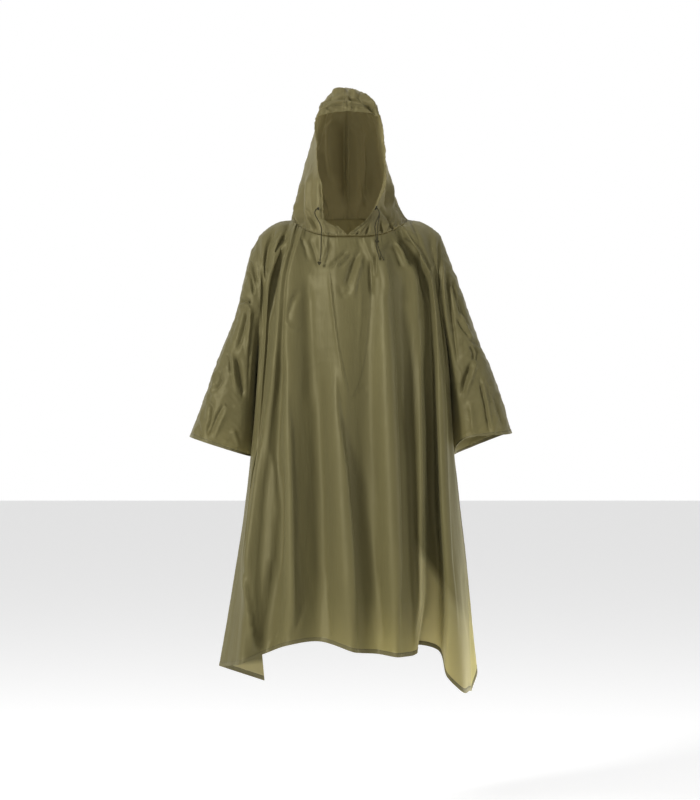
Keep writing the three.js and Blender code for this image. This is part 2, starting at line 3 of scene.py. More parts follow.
import bpy
import numpy as np
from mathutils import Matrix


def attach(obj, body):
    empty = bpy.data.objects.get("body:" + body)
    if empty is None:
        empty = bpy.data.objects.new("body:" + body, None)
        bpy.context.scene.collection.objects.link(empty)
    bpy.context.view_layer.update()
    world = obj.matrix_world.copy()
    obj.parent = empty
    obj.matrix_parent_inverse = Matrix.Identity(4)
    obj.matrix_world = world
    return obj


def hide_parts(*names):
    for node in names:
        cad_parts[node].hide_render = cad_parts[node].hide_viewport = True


# A hooded rain poncho in its worn form. Tables are in millimetres, as in the model it rides on.
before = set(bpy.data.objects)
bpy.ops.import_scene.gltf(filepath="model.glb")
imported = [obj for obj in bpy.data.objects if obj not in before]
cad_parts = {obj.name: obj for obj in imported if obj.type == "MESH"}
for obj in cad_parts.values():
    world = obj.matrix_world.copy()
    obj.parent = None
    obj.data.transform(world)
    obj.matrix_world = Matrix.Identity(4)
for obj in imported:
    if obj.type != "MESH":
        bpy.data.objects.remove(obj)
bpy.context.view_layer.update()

MM = 0.001
SEED = 7

# How dense the cloth is: cells for each cell of the model
ROWS_ABOVE = 110
ROWS_BELOW = 90
FRONT_CELLS = 5
BACK_CELLS = 4
SLEEVE_ROWS = 150
HOOD_ROWS = 150
HOOD_COLUMNS = 150
CLOTH = 0.9
HEM = 10
HEM_CELLS = 6
# How wide the casing is that the drawcord runs in
CASING = 13
# About how long the cloth is, from the underarm and from the shoulder's tip down
BELOW_UNDERARM = 660
SLEEVE_LENGTH = 480
# How deep the creases below are made
STRENGTH = 1.9

SHOULDER_TIP_X = 218
SHOULDER_TIP_Z = -10
NECK_SIDE_X = 140
NECK_SIDE_Z = 28
NECK_FRONT_Y = -112
NECK_FRONT_Z = -20
NECK_BACK_Y = 95
NECK_BACK_Z = 38
SHOULDER_ROUNDING = 95
UNDERARM_Z = -330
ARMHOLE_FRONT = 70
ARMHOLE_BACK = 74
UNDERARM_CLEARANCE = 2.5

# Height, how far the body reaches to the left and right, and how deep it is in front and behind
BODY_SECTIONS = np.array([
    (30, 214, 214, 104, 88),
    (-60, 218, 218, 118, 100),
    (-130, 224, 224, 135, 118),
    (-300, 232, 244, 150, 124),
    (-480, 244, 256, 165, 132),
    (-660, 264, 272, 182, 147),
    (-840, 292, 290, 200, 166),
    (-1000, 320, 312, 216, 186),
    (-1110, 332, 322, 226, 194),
], float)
SECTION_POWER = 2.5
FOLD_HEIGHTS = [-130, -300, -480, -660, -840]

# Name, X on the shoulder or neck edge, X at each of those heights and at the hem, how far out it
# stands there (or its Y), the hem's height, and the model's cells up to the next fold
FRONT_FOLDS = [
    ("left_seam", -218, (-212, -220, -223, -236, -226, -206), (0, 0, 0, 0, -2, -2), -1076, 4),
    ("left_roll", -210, (-206, -214, -230, -250, -277, -309), (-68, -78, -70, -66, -74, -84), -1032, 2),
    ("left_shoulder_valley", -182, (-199, -208, -221, -244, -270, -301), (-4, -6, -4, 0, 0, 0), -1031, 1),
    ("left_shoulder_ridge", -160, (-191, -203, -217, -238, -264, -291), (2, -2, -2, 0, 2, 2), -1028, 2),
    ("left_neck_valley", -136, (-182, -197, -211, -230, -252, -272), (-12, -14, -8, 2, 12, 14), -1023, 2),
    ("left_ridge", -128, (-164, -176, -203, -221, -239, -250), (12, 14, 13, 18, 24, 26), -1016, 2),
    ("left_groove", -121, (-152, -161, -168, -160, -167, -194), (4, 0, -12, -18, -22, -24), -993, 2),
    ("left_second_ridge", -113, (-147, -151, -144, -139, -137, -143), (9, 12, 15, 16, 17, 14), -971, 3),
    ("left_valley", -86, (-84, -84, -79, -73, -70, -72), (-9, -16, -21, -23, -25, -20), -964, 4),
    ("middle_ridge", -30, (-28, -24, -19, -11, 1, 8), (6, 9, 16, 20, 25, 29), -984, 2),
    ("middle_edge", -8, (18, 13, 5, 7, 18, 25), (2, 2, 5, 7, 10, 8), -988, 2),
    ("middle_valley", 16, (49, 44, 47, 56, 60, 62), (-2, -3, -7, -9, -8, -5), -991, 4),
    ("right_ridge", 60, (78, 87, 94, 101, 107, 108), (13, 16, 20, 22, 27, 31), -996, 2),
    ("right_edge", 74, (96, 102, 109, 116, 121, 126), (4, 2, 4, 4, 8, 12), -997, 1),
    ("right_valley", 86, (139, 142, 145, 149, 148, 148), (-10, -11, -11, -10, -8, 0), -995, 1),
    ("pleat_lip", 97, (158, 163, 168, 166, 167, 155), (-6, -4, 4, 4, 4, 0), -991, 2),
    ("pleat_left", 106, (170, 182, 187, 184, 186, 163), (-22, -24, -34, -44, -60, -78), -979, 2),
    ("pleat_right", 113, (183, 194, 198, 202, 210, 209), (-24, -26, -40, -52, -62, -62), -993, 2),
    ("corner_edge", 124, (195, 208, 213, 219, 230, 226), (8, 8, 10, 12, 6, -8), -1048, 2),
    ("corner_ridge", 154, (201, 218, 226, 235, 247, 252), (3, 4, 6, 8, 8, 4), -1076, 1),
    ("right_shoulder_valley", 186, (205, 223, 232, 242, 256, 266), (-6, -6, -2, 2, 4, 0), -1088, 1),
    ("right_roll", 208, (209, 230, 243, 257, 273, 283), (-66, -74, -68, -64, -62, -62), -1094, 3),
    ("right_seam", 218, (214, 232, 240, 262, 281, 291), (0, 0, 0, 0, -6, -12), -1100, 0),
]
BACK_FOLDS = [
    ("left_seam", -218, (-212, -220, -223, -236, -226, -206), (0, 0, 0, 0, -2, -2), -1076, 3),
    ("left_roll", -206, (-207, -216, -234, -249, -262, -268), (64, 70, 64, 62, 64, 60), -1030, 2),
    ("left_ridge", -176, (-184, -190, -198, -210, -226, -240), (4, 6, 8, 10, 14, 14), -1004, 2),
    ("left_valley", -142, (-150, -153, -156, -160, -167, -174), (-6, -8, -12, -18, -24, -30), -986, 3),
    ("left_inner_ridge", -108, (-112, -110, -110, -112, -115, -120), (8, 10, 12, 16, 22, 28), -976, 3),
    ("left_inner_valley", -74, (-70, -66, -62, -59, -57, -55), (-4, -7, -12, -17, -24, -30), -970, 3),
    ("middle_ridge", -30, (-24, -18, -12, -8, -4, 2), (6, 8, 14, 20, 27, 34), -973, 3),
    ("middle_valley", 18, (26, 32, 38, 44, 50, 56), (-3, -6, -11, -16, -21, -27), -970, 3),
    ("right_inner_ridge", 64, (74, 80, 86, 93, 99, 107), (8, 9, 14, 18, 23, 30), -975, 3),
    ("right_valley", 106, (120, 128, 136, 144, 152, 159), (-5, -8, -12, -19, -26, -33), -988, 3),
    ("right_ridge", 150, (166, 180, 190, 200, 213, 224), (7, 8, 9, 12, 14, 18), -1010, 3),
    ("right_roll", 204, (209, 228, 245, 263, 283, 306), (64, 70, 62, 58, 52, 46), -1050, 3),
    ("right_seam", 218, (214, 232, 240, 262, 281, 291), (0, 0, 0, 0, -6, -12), -1100, 0),
]
# Folds whose second row is their Y, not how far out they stand
BY_DEPTH = {"left_seam", "left_roll", "right_roll", "right_seam"}

# height, reach
LEFT_SLEEVE_OUTER = np.array([
    (-10, -218), (-55, -240), (-127, -257), (-199, -274),
    (-271, -303), (-343, -330), (-415, -355), (-490, -384),
], float)
RIGHT_SLEEVE_OUTER = np.array([
    (-10, 218), (-55, 235), (-127, 262), (-199, 287),
    (-271, 313), (-343, 344), (-415, 368), (-482, 387),
], float)
SLEEVE_BOXINESS = 0.68
# Where a cuff's inner side is, its depth in front and behind, and how far its front is raised
LEFT_CUFF = dict(side=-1, inner_x=-234, inner_z=-538, front=104, back=108, lift=0)
RIGHT_CUFF = dict(side=1, inner_x=250, inner_z=-536, front=104, back=108, lift=44)

# height, left, right, fore
FACE_EDGE = [
    (-14, 2, 2, -116), (2, 26, 16, -117), (15, 58, 34, -114), (60, 71, 66, -107),
    (103, 74, 85, -101), (154, 77, 84, -98), (206, 82, 84, -97), (243, 84, 79, -96),
    (266, 77, 71, -96), (277, 46, 42, -97), (280, 2, 2, -98),
]
# fore, height
HOOD_MIDDLE = [
    (-98, 280), (-80, 315), (-36, 340), (10, 346), (60, 336), (104, 304),
    (132, 250), (141, 190), (136, 130), (118, 78), (95, 38),
]
HOOD_MIDDLE_X = -6
# How far each half bulges, and how round the crown is
HOOD_BULGE = {-1: 26, 1: 9}
HOOD_CROWN_POWER = 2
# height, how much of its width the crown keeps there
HOOD_CROWN = np.array([
    (280, 1.0), (296, 0.97), (310, 0.92), (319, 0.86), (329, 0.77), (338, 0.68), (346, 0.62),
])
# How soon a half widens behind the face edge
HOOD_BROW_POWER = 2.8

# The photo: how far its camera is, its height, and how big a pixel is at the poncho's middle
CAMERA_Y = -6000
CAMERA_Z = -403
PIXEL = 2.4
PHOTO_MIDDLE = (350, 400)


def smooth(xs, ys, x):
    """A curve through a table's points that never overshoots them."""
    xs, ys, x = np.asarray(xs, float), np.asarray(ys, float), np.asarray(x, float)
    if xs[-1] < xs[0]:
        xs, ys = xs[::-1], ys[::-1]
    slope = np.diff(ys) / np.diff(xs)
    tangent = np.empty(len(xs))
    tangent[0], tangent[-1] = slope[0], slope[-1]
    product, total = slope[:-1] * slope[1:], slope[:-1] + slope[1:]
    safe = np.where(total == 0, 1, total)
    tangent[1:-1] = np.where(product <= 0, 0, 2 * product / safe)
    x = np.clip(x, xs[0], xs[-1])
    i = np.clip(np.searchsorted(xs, x, side="right") - 1, 0, len(xs) - 2)
    width = xs[i + 1] - xs[i]
    f = (x - xs[i]) / width
    g = 1 - f
    return (
        ys[i] * (1 + 2 * f) * g * g
        + ys[i + 1] * (3 - 2 * f) * f * f
        + width * f * g * (tangent[i] * g - tangent[i + 1] * f)
    )


def mix(a, b, f):
    return a + (b - a) * f


def catmull(points, interval, f):
    """Points on the smooth curve through points[..., k, :], in an interval, at f."""
    count = points.shape[-2]
    p1, p2 = points[..., interval, :], points[..., interval + 1, :]
    p0 = points[..., interval - 1, :] if interval > 0 else 2 * p1 - p2
    p3 = points[..., interval + 2, :] if interval + 2 < count else 2 * p2 - p1
    step = [np.sqrt(np.linalg.norm(b - a, axis=-1))[..., None] for a, b in ((p0, p1), (p1, p2), (p2, p3))]
    d1 = np.where(step[1] < 1e-4, 1, step[1])
    d0 = np.where(step[0] < 1e-4, d1, step[0])
    d2 = np.where(step[2] < 1e-4, d1, step[2])
    t1 = ((p1 - p0) / d0 - (p2 - p0) / (d0 + d1) + (p2 - p1) / d1) * d1
    t2 = ((p2 - p1) / d1 - (p3 - p1) / (d1 + d2) + (p3 - p2) / d2) * d1
    f2, f3 = f * f, f * f * f
    return (
        (2 * f3 - 3 * f2 + 1) * p1 + (f3 - 2 * f2 + f) * t1
        + (-2 * f3 + 3 * f2) * p2 + (f3 - f2) * t2
    )


def top_edge(x, front):
    """The shoulder seams and the neck edge: Y and height for an X."""
    reach = np.abs(x)
    f = np.clip((reach - NECK_SIDE_X) / (SHOULDER_TIP_X - NECK_SIDE_X), 0, 1)
    seam_z = mix(NECK_SIDE_Z, SHOULDER_TIP_Z, f**2.2)
    inside = np.clip(reach / NECK_SIDE_X, 0, 1)
    round_ = np.sqrt(1 - inside**2)
    if front:
        neck_z = NECK_FRONT_Z + (NECK_SIDE_Z - NECK_FRONT_Z) * inside**3
        neck_y = NECK_FRONT_Y * round_
    else:
        neck_z = mix(NECK_SIDE_Z, NECK_BACK_Z, round_**2)
        neck_y = NECK_BACK_Y * round_
    on_seam = reach >= NECK_SIDE_X
    return np.where(on_seam, 0, neck_y), np.where(on_seam, seam_z, neck_z)


def body_depth(x, z, front):
    """The plain body without its folds: Y at an X and height."""
    heights = BODY_SECTIONS[:, 0]
    reach = np.where(
        x < 0, smooth(heights, BODY_SECTIONS[:, 1], z), smooth(heights, BODY_SECTIONS[:, 2], z)
    )
    depth = smooth(heights, BODY_SECTIONS[:, 3 if front else 4], z)
    f = np.minimum(np.abs(x) / reach, 1)
    return (-1 if front else 1) * depth * (1 - f**SECTION_POWER) ** (1 / SECTION_POWER)


def fold_path(fold, above, below, front):
    """A fold's line from the top edge down to the hem, at shares of the way above and below the underarm."""
    name, top, across, out, hem = fold[:5]
    edge_y, edge_z = (float(v) for v in top_edge(top, front))
    lowered = (1 - np.cos(np.pi * above)) / 2
    z = np.where(below > 0, mix(UNDERARM_Z, hem, below), mix(edge_z, UNDERARM_Z, lowered))
    x = smooth([edge_z, *FOLD_HEIGHTS, hem], [top, *across], z)
    if name.endswith("_seam"):
        armhole = (-ARMHOLE_FRONT if front else ARMHOLE_BACK) * np.sin(np.pi * above)
        seam = smooth([UNDERARM_Z, *FOLD_HEIGHTS[2:], hem], [0, *out[2:]], z)
        return np.stack([x, np.where(below > 0, seam, armhole), z], -1)
    if name in BY_DEPTH:
        settled = smooth([*FOLD_HEIGHTS, hem], out, z)
    else:
        settled = body_depth(x, z, front) + (-1 if front else 1) * smooth([*FOLD_HEIGHTS, hem], out, z)
    fallen = np.minimum((edge_z - z) / SHOULDER_ROUNDING, 1)
    ramp = np.sqrt(1 - (1 - fallen) ** 2)
    return np.stack([x, mix(edge_y, settled, ramp), z], -1)


def panel_rows():
    """Shares of the way down: from the top edge to the underarm, and from there to the hem."""
    hem_share = HEM / BELOW_UNDERARM
    low = np.concatenate([
        np.linspace(0, 1 - hem_share, ROWS_BELOW - HEM_CELLS + 1)[1:],
        np.linspace(1 - hem_share, 1, HEM_CELLS + 1)[1:],
    ])
    above = np.concatenate([np.linspace(0, 1, ROWS_ABOVE + 1), np.ones(ROWS_BELOW)])
    return above, np.concatenate([np.zeros(ROWS_ABOVE + 1), low])


def panel_grid(folds, cells_each, front):
    """The panel's points, rows from the top edge down and columns from the left seam to the right."""
    above, below = panel_rows()
    lines = np.stack([fold_path(fold, above, below, front) for fold in folds], 1)
    columns = []
    for i, fold in enumerate(folds):
        cells = fold[5] * cells_each
        columns += [catmull(lines, i, c / cells) for c in range(cells)]
    columns.append(lines[:, -1])
    grid = np.stack(columns, 1)
    edge_y, edge_z = top_edge(grid[0, :, 0], front)
    share = (1 - above) ** 4
    grid[:, :, 1] += share[:, None] * (edge_y - grid[0, :, 1])[None]
    grid[:, :, 2] += share[:, None] * (edge_z - grid[0, :, 2])[None]
    return grid


def slope_along(grid, axis, closed=False):
    """The step from the point before to the point after, along the rows or the columns."""
    if closed:
        return np.roll(grid, -1, axis) - np.roll(grid, 1, axis)
    g = np.moveaxis(grid, axis, 0)
    steps = np.concatenate([g[1:2] - g[:1], g[2:] - g[:-2], g[-1:] - g[-2:-1]])
    return np.moveaxis(steps, 0, axis)


def unit(vectors):
    return vectors / np.maximum(np.linalg.norm(vectors, axis=-1, keepdims=True), 1e-9)


def normals_of(grid, closed=False):
    return unit(np.cross(slope_along(grid, 0), slope_along(grid, 1, closed)))


def seen(points):
    """Where points show in the photo, in its pixels."""
    nearer = CAMERA_Y / (CAMERA_Y - points[..., 1])
    u = PHOTO_MIDDLE[0] + points[..., 0] * nearer / PIXEL
    v = PHOTO_MIDDLE[1] - (points[..., 2] - CAMERA_Z) * nearer / PIXEL
    return u, v


def crease(u, v, line, width, lean=0.0, taper=0.25):
    """How much of a crease is at each point: 1 on its middle, 0 a few widths off and past its ends.

    A lean from -1 to 1 makes its left or right side the steep one, seen down its line."""
    line = np.asarray(line, float)
    lengths = np.linalg.norm(np.diff(line, axis=0), axis=1)
    starts = np.concatenate([[0], np.cumsum(lengths)])
    best = np.full(u.shape, 1e9)
    along = np.zeros(u.shape)
    side = np.zeros(u.shape)
    for (a, b), length, start in zip(zip(line[:-1], line[1:]), lengths, starts):
        direction = (b - a) / length
        s = np.clip((u - a[0]) * direction[0] + (v - a[1]) * direction[1], 0, length)
        du, dv = u - a[0] - s * direction[0], v - a[1] - s * direction[1]
        away = np.hypot(du, dv)
        closer = away < best
        best = np.where(closer, away, best)
        along = np.where(closer, (start + s) / starts[-1], along)
        side = np.where(closer, np.sign(du * direction[1] - dv * direction[0]), side)
    fade = np.clip(np.minimum(along, 1 - along) / taper, 0, 1)
    fade = fade * fade * (3 - 2 * fade)
    wide = width * (1 - lean * side)
    return np.exp(-((best / wide) ** 2)) * fade


def creased(grid, normals, strokes, facing=-1, mirror=False, slant=0.35):
    """How far out the strokes move each point of the side of a piece that faces the viewer or away."""
    u, v = seen(grid)
    if mirror:
        u = 2 * PHOTO_MIDDLE[0] - u
    lift = np.zeros(u.shape)
    for _, line, width, depth, *lean in strokes:
        lift += depth * crease(u, v, line, width, *lean)
    # Those of the upper half are deeper
    high = 1 + 0.5 * np.clip((340 - v) / 50, 0, 1)
    turned = np.clip(facing * normals[..., 1] / slant, 0, 1)
    return lift * high * turned


def crumple(points, size, seed, ridged=True):
    """Irregular small folds, about one high: waves in random directions, bent by each other."""
    rng = np.random.default_rng(seed)
    p = points / size
    total = np.zeros(points.shape[:-1])
    for octave in range(4):
        a = rng.normal(size=(3, 3))
        a /= np.linalg.norm(a, axis=1, keepdims=True)
        phase = rng.uniform(0, 2 * np.pi, 3)
        warp = np.sin(p @ a[1] * 1.7 + phase[1]) + np.sin(p @ a[2] * 2.3 + phase[2])
        wave = np.sin(p @ a[0] * (1.3 + 0.9 * octave) + 1.4 * warp + phase[0])
        total += ((1 - 2 * np.abs(wave)) if ridged else wave) / (1 + 0.6 * octave)
    return total / 2.2


def add_mesh(name, vertices, faces, materials, smooth=True):
    """A mesh from points in millimetres."""
    mesh = bpy.data.meshes.new(name)
    mesh.from_pydata((np.asarray(vertices) * MM).tolist(), [], faces)
    for material in materials:
        mesh.materials.append(material)
    if smooth:
        mesh.polygons.foreach_set("use_smooth", np.ones(len(faces), bool))
    return mesh


def add_object(name, mesh):
    """The mesh's object, put in the scene."""
    mesh.update()
    obj = bpy.data.objects.new(name, mesh)
    bpy.context.scene.collection.objects.link(obj)
    return obj


def mesh_object(name, grid, inner, closed, hem_rows, materials):
    """A closed shell between two grids, with the hem's faces in the second material."""
    rows, columns = grid.shape[:2]
    away = rows * columns
    e = np.arange(columns if closed else columns - 1)
    r, c = (a.ravel() for a in np.meshgrid(np.arange(rows - 1), e, indexing="ij"))
    d = (c + 1) % columns
    outer = np.stack([r * columns + c, (r + 1) * columns + c, (r + 1) * columns + d, r * columns + d], 1)
    hem = np.isin(r, hem_rows)
    f = (e + 1) % columns
    low = (rows - 1) * columns
    edges = [
        np.stack([e, f, away + f, away + e], 1),
        np.stack([low + f, low + e, away + low + e, away + low + f], 1),
    ]
    if not closed:
        k = np.arange(rows - 1) * columns
        last = k + columns - 1
        edges += [
            np.stack([k + columns, k, away + k, away + k + columns], 1),
            np.stack([last, last + columns, away + last + columns, away + last], 1),
        ]
    faces = np.concatenate([outer, away + outer[:, ::-1], *edges])
    index = np.zeros(len(faces), np.int32)
    index[: 2 * len(hem)] = np.tile(hem, 2)
    vertices = np.concatenate([grid.reshape(-1, 3), inner.reshape(-1, 3)])
    mesh = add_mesh(name, vertices, faces.tolist(), materials)
    mesh.polygons.foreach_set("material_index", index)
    # The shell's borders are crisp
    ends = np.empty(2 * len(mesh.edges), np.int32)
    mesh.edges.foreach_get("vertices", ends)
    ends = ends.reshape(-1, 2)
    row, column = (ends % away) // columns, ends % columns
    border = np.all(row == 0, 1) | np.all(row == rows - 1, 1)
    if not closed:
        border |= np.all(column == 0, 1) | np.all(column == columns - 1, 1)
    mesh.edges.foreach_set("use_edge_sharp", border)
    return add_object(name, mesh)


# Materials. The light's colour is given between these heights, in metres
LOWEST = -1.1
HIGHEST = 0.35


def node_adder(tree):
    """A function that adds a node, its inputs set to values or linked to other nodes' outputs."""
    def add(kind, inputs, **settings):
        node = tree.nodes.new("ShaderNode" + kind)
        for key, value in settings.items():
            setattr(node, key, value)
        for key, value in inputs.items():
            if isinstance(value, bpy.types.NodeSocket):
                tree.links.new(value, node.inputs[key])
            else:
                node.inputs[key].default_value = value
        return node

    return add


def new_material(name):
    material = bpy.data.materials.new(name)
    material.use_nodes = True
    material.node_tree.nodes.clear()
    return material, node_adder(material.node_tree)


def cloth_material(name, base, streak_tone_and_sheen, through, share, hem_glow_share=0.0, by_side=False, left_lit=False):
    """Coated nylon: a satin face with a fine weave, and light coming through it.

    Its base colour streaks towards the second colour given: a random tone, partly painted satin sheen.
    The rows of through give a height in metres and the light's colour there, from the lowest up.
    The share is that of the light that comes through, and the low share how much paler the hem is
    painted: a painted glow of the light that comes in under the hem."""
    material, add = new_material(name)
    place = add("TexCoord", {}).outputs["Object"]
    axes = add("SeparateXYZ", {0: place}).outputs
    x, z = axes["X"], axes["Z"]
    streaked = add("Mapping", {"Vector": place, "Scale": (1.0, 1.0, 0.12)}).outputs["Vector"]

    def maths(operation, *values):
        return add("Math", dict(enumerate(values)), operation=operation).outputs[0]

    def fade(value, start, end, low=0.0, high=1.0):
        """Goes from low to high as the value goes from start to end."""
        limits = {"Value": value, "From Min": start, "From Max": end, "To Min": low, "To Max": high}
        return add("MapRange", limits).outputs[0]

    def blend(part, first, second):
        colors = {f"Color{i}": c if isinstance(c, bpy.types.NodeSocket) else (*c, 1)
                  for i, c in ((1, first), (2, second))}
        return add("MixRGB", {"Fac": part, **colors}).outputs["Color"]

    def streaks(scale):
        return add("TexNoise", {"Vector": streaked, "Scale": scale, "Detail": 4}).outputs["Fac"]

    def threads(direction):
        inputs = {"Vector": place, "Scale": 900, "Distortion": 0.6}
        return add("TexWave", inputs, wave_type="BANDS", bands_direction=direction).outputs["Fac"]

    # The light comes through most at the low right; there the base colour is painted paler towards the hem,
    # a painted glow
    right = fade(x, -0.25, 0.2, 0.08 if by_side else 1.0)
    low = maths("MULTIPLY", maths("MULTIPLY", fade(z, -0.62, -1.05), right), hem_glow_share)
    hem_glow_color = (1.35 * streak_tone_and_sheen[0], 1.35 * streak_tone_and_sheen[1], 1.15 * streak_tone_and_sheen[2])
    lower = blend(low, blend(streaks(34), base, streak_tone_and_sheen), hem_glow_color)
    ramp = add("ValToRGB", {"Fac": fade(z, LOWEST, HIGHEST)})
    stops = ramp.color_ramp.elements
    for i, (level, color) in enumerate(through):
        position = (level - LOWEST) / (HIGHEST - LOWEST)
        stop = stops[i] if i < 2 else stops.new(position)
        stop.position = position
        stop.color = (*color, 1)
    glow = blend(right, (0.09, 0.08, 0.04), ramp.outputs["Color"])
    # Painted glow at corners of the hem where only one layer is before the light: the base colour and the
    # light coming through are painted paler there. The right one lies below a slanted line, strongest
    # between the dart and the lobe's ridge, and the turned one at the left
    slanted = fade(maths("MULTIPLY_ADD", x, 1.5, z), -0.492, -0.527)
    beside_dart = fade(x, 0.148, 0.168, 0.0, 1.0 if by_side else 0.0)
    right_corner_glow = maths("MULTIPLY", slanted, maths("MULTIPLY", beside_dart, fade(x, 0.2, 0.222, 1.0, 0.4)))
    left_corner_glow = maths(
        "MULTIPLY", fade(z, -1.022, -1.036), fade(x, -0.17, -0.2, 0.0, 1.0 if left_lit else 0.0)
    )
    corners = maths("MAXIMUM", right_corner_glow, left_corner_glow)
    weave = add("Bump", {
        "Strength": 0.05, "Distance": 0.0002, "Height": maths("ADD", threads("X"), threads("Z")),
    })
    soft = add("Bump", {
        "Strength": 0.35, "Distance": 0.002, "Height": streaks(160), "Normal": weave.outputs["Normal"],
    })
    shader = add("BsdfPrincipled", {
        # Base colour: streaked tone and painted sheen, painted paler at the low right and at the hem's
        # corners as a painted glow
        "Base Color": blend(maths("MULTIPLY", corners, 0.72), lower, (0.27, 0.245, 0.14)),
        "Roughness": 0.48,
        "Specular IOR Level": 0.36,
        "Specular Tint": (0.95, 0.87, 0.54, 1),
        "Sheen Weight": 0.2,
        "Sheen Roughness": 0.5,
        "Sheen Tint": (0.8, 0.74, 0.4, 1),
        "IOR": 1.5,
        "Normal": soft.outputs["Normal"],
    })
    # The light coming through, painted paler at the hem's corners
    translucent = add("BsdfTranslucent", {"Color": blend(corners, glow, (1.0, 0.92, 0.58))})
    mixer = add("MixShader", {"Fac": share, 1: shader.outputs[0], 2: translucent.outputs[0]})
    add("OutputMaterial", {"Surface": mixer.outputs[0]})
    return material


def plain_material(name, color, roughness, metallic=0.0, glow=0.0):
    """An even material, finely mottled."""
    material, add = new_material(name)
    place = add("TexCoord", {})
    noise = add("TexNoise", {"Vector": place.outputs["Object"], "Scale": 400})
    uneven = add("MixRGB", {
        "Fac": noise.outputs["Fac"],
        "Color1": (*(0.7 * v for v in color), 1),
        "Color2": (*(1.3 * v for v in color), 1),
    })
    shader = add("BsdfPrincipled", {
        "Base Color": uneven.outputs["Color"],
        "Roughness": roughness,
        "Metallic": metallic,
        "Specular IOR Level": 0.25,
        "Emission Color": (1, 1, 1, 1),
        "Emission Strength": glow,
    })
    add("OutputMaterial", {"Surface": shader.outputs[0]})
    return material


DIM = (0.10, 0.09, 0.045)
LIT = (0.92, 0.84, 0.50)
BRIGHT = (1.0, 0.95, 0.62)
# The cloth's colour, and the other end of its streaks: random tone, partly painted satin sheen. The hem's
# painted glow is made paler still from it
CLOTH_BASE = (0.100, 0.087, 0.038)
CLOTH_STREAK_TONE_AND_SHEEN = (0.142, 0.124, 0.052)
cloth = cloth_material(
    "coated_nylon", CLOTH_BASE, CLOTH_STREAK_TONE_AND_SHEEN,
    [(-1.05, LIT), (-0.96, (0.84, 0.77, 0.46)), (-0.87, (0.34, 0.31, 0.17)), (-0.72, DIM)],
    0.32, 0.4, True, True,
)
back_cloth = cloth_material(
    "coated_nylon_back", CLOTH_BASE, CLOTH_STREAK_TONE_AND_SHEEN,
    [(-1.05, BRIGHT), (-0.95, BRIGHT), (-0.7, DIM), (-0.12, DIM), (-0.02, (0.5, 0.45, 0.28))],
    0.54, 0.0, False, True,
)
sleeve_cloth = cloth_material(
    "coated_nylon_sleeve", CLOTH_BASE, CLOTH_STREAK_TONE_AND_SHEEN,
    [(-0.54, (1.0, 0.92, 0.55)), (-0.5, (0.5, 0.45, 0.25)), (-0.38, (0.16, 0.145, 0.08)), (-0.2, DIM)],
    0.34,
)
# The hood's streaks are stronger: random tone, partly painted satin sheen
hood_cloth = cloth_material(
    "coated_nylon_hood", (0.072, 0.062, 0.028), (0.158, 0.139, 0.064),
    [(0.0, (0.72, 0.65, 0.43)), (0.3, (0.72, 0.65, 0.43))], 0.36,
)
hem_cloth = cloth_material(
    "coated_nylon_hem", (0.082, 0.072, 0.032), (0.1, 0.088, 0.04),
    [(-1.05, (0.35, 0.31, 0.16)), (-0.7, (0.14, 0.12, 0.06))], 0.12,
)
thread = plain_material("thread", (0.06, 0.052, 0.024), 0.6)
cord_look = plain_material("drawcord", (0.030, 0.026, 0.010), 0.9)
metal = plain_material("eyelet_metal", (0.03, 0.027, 0.018), 0.4, 0.7)


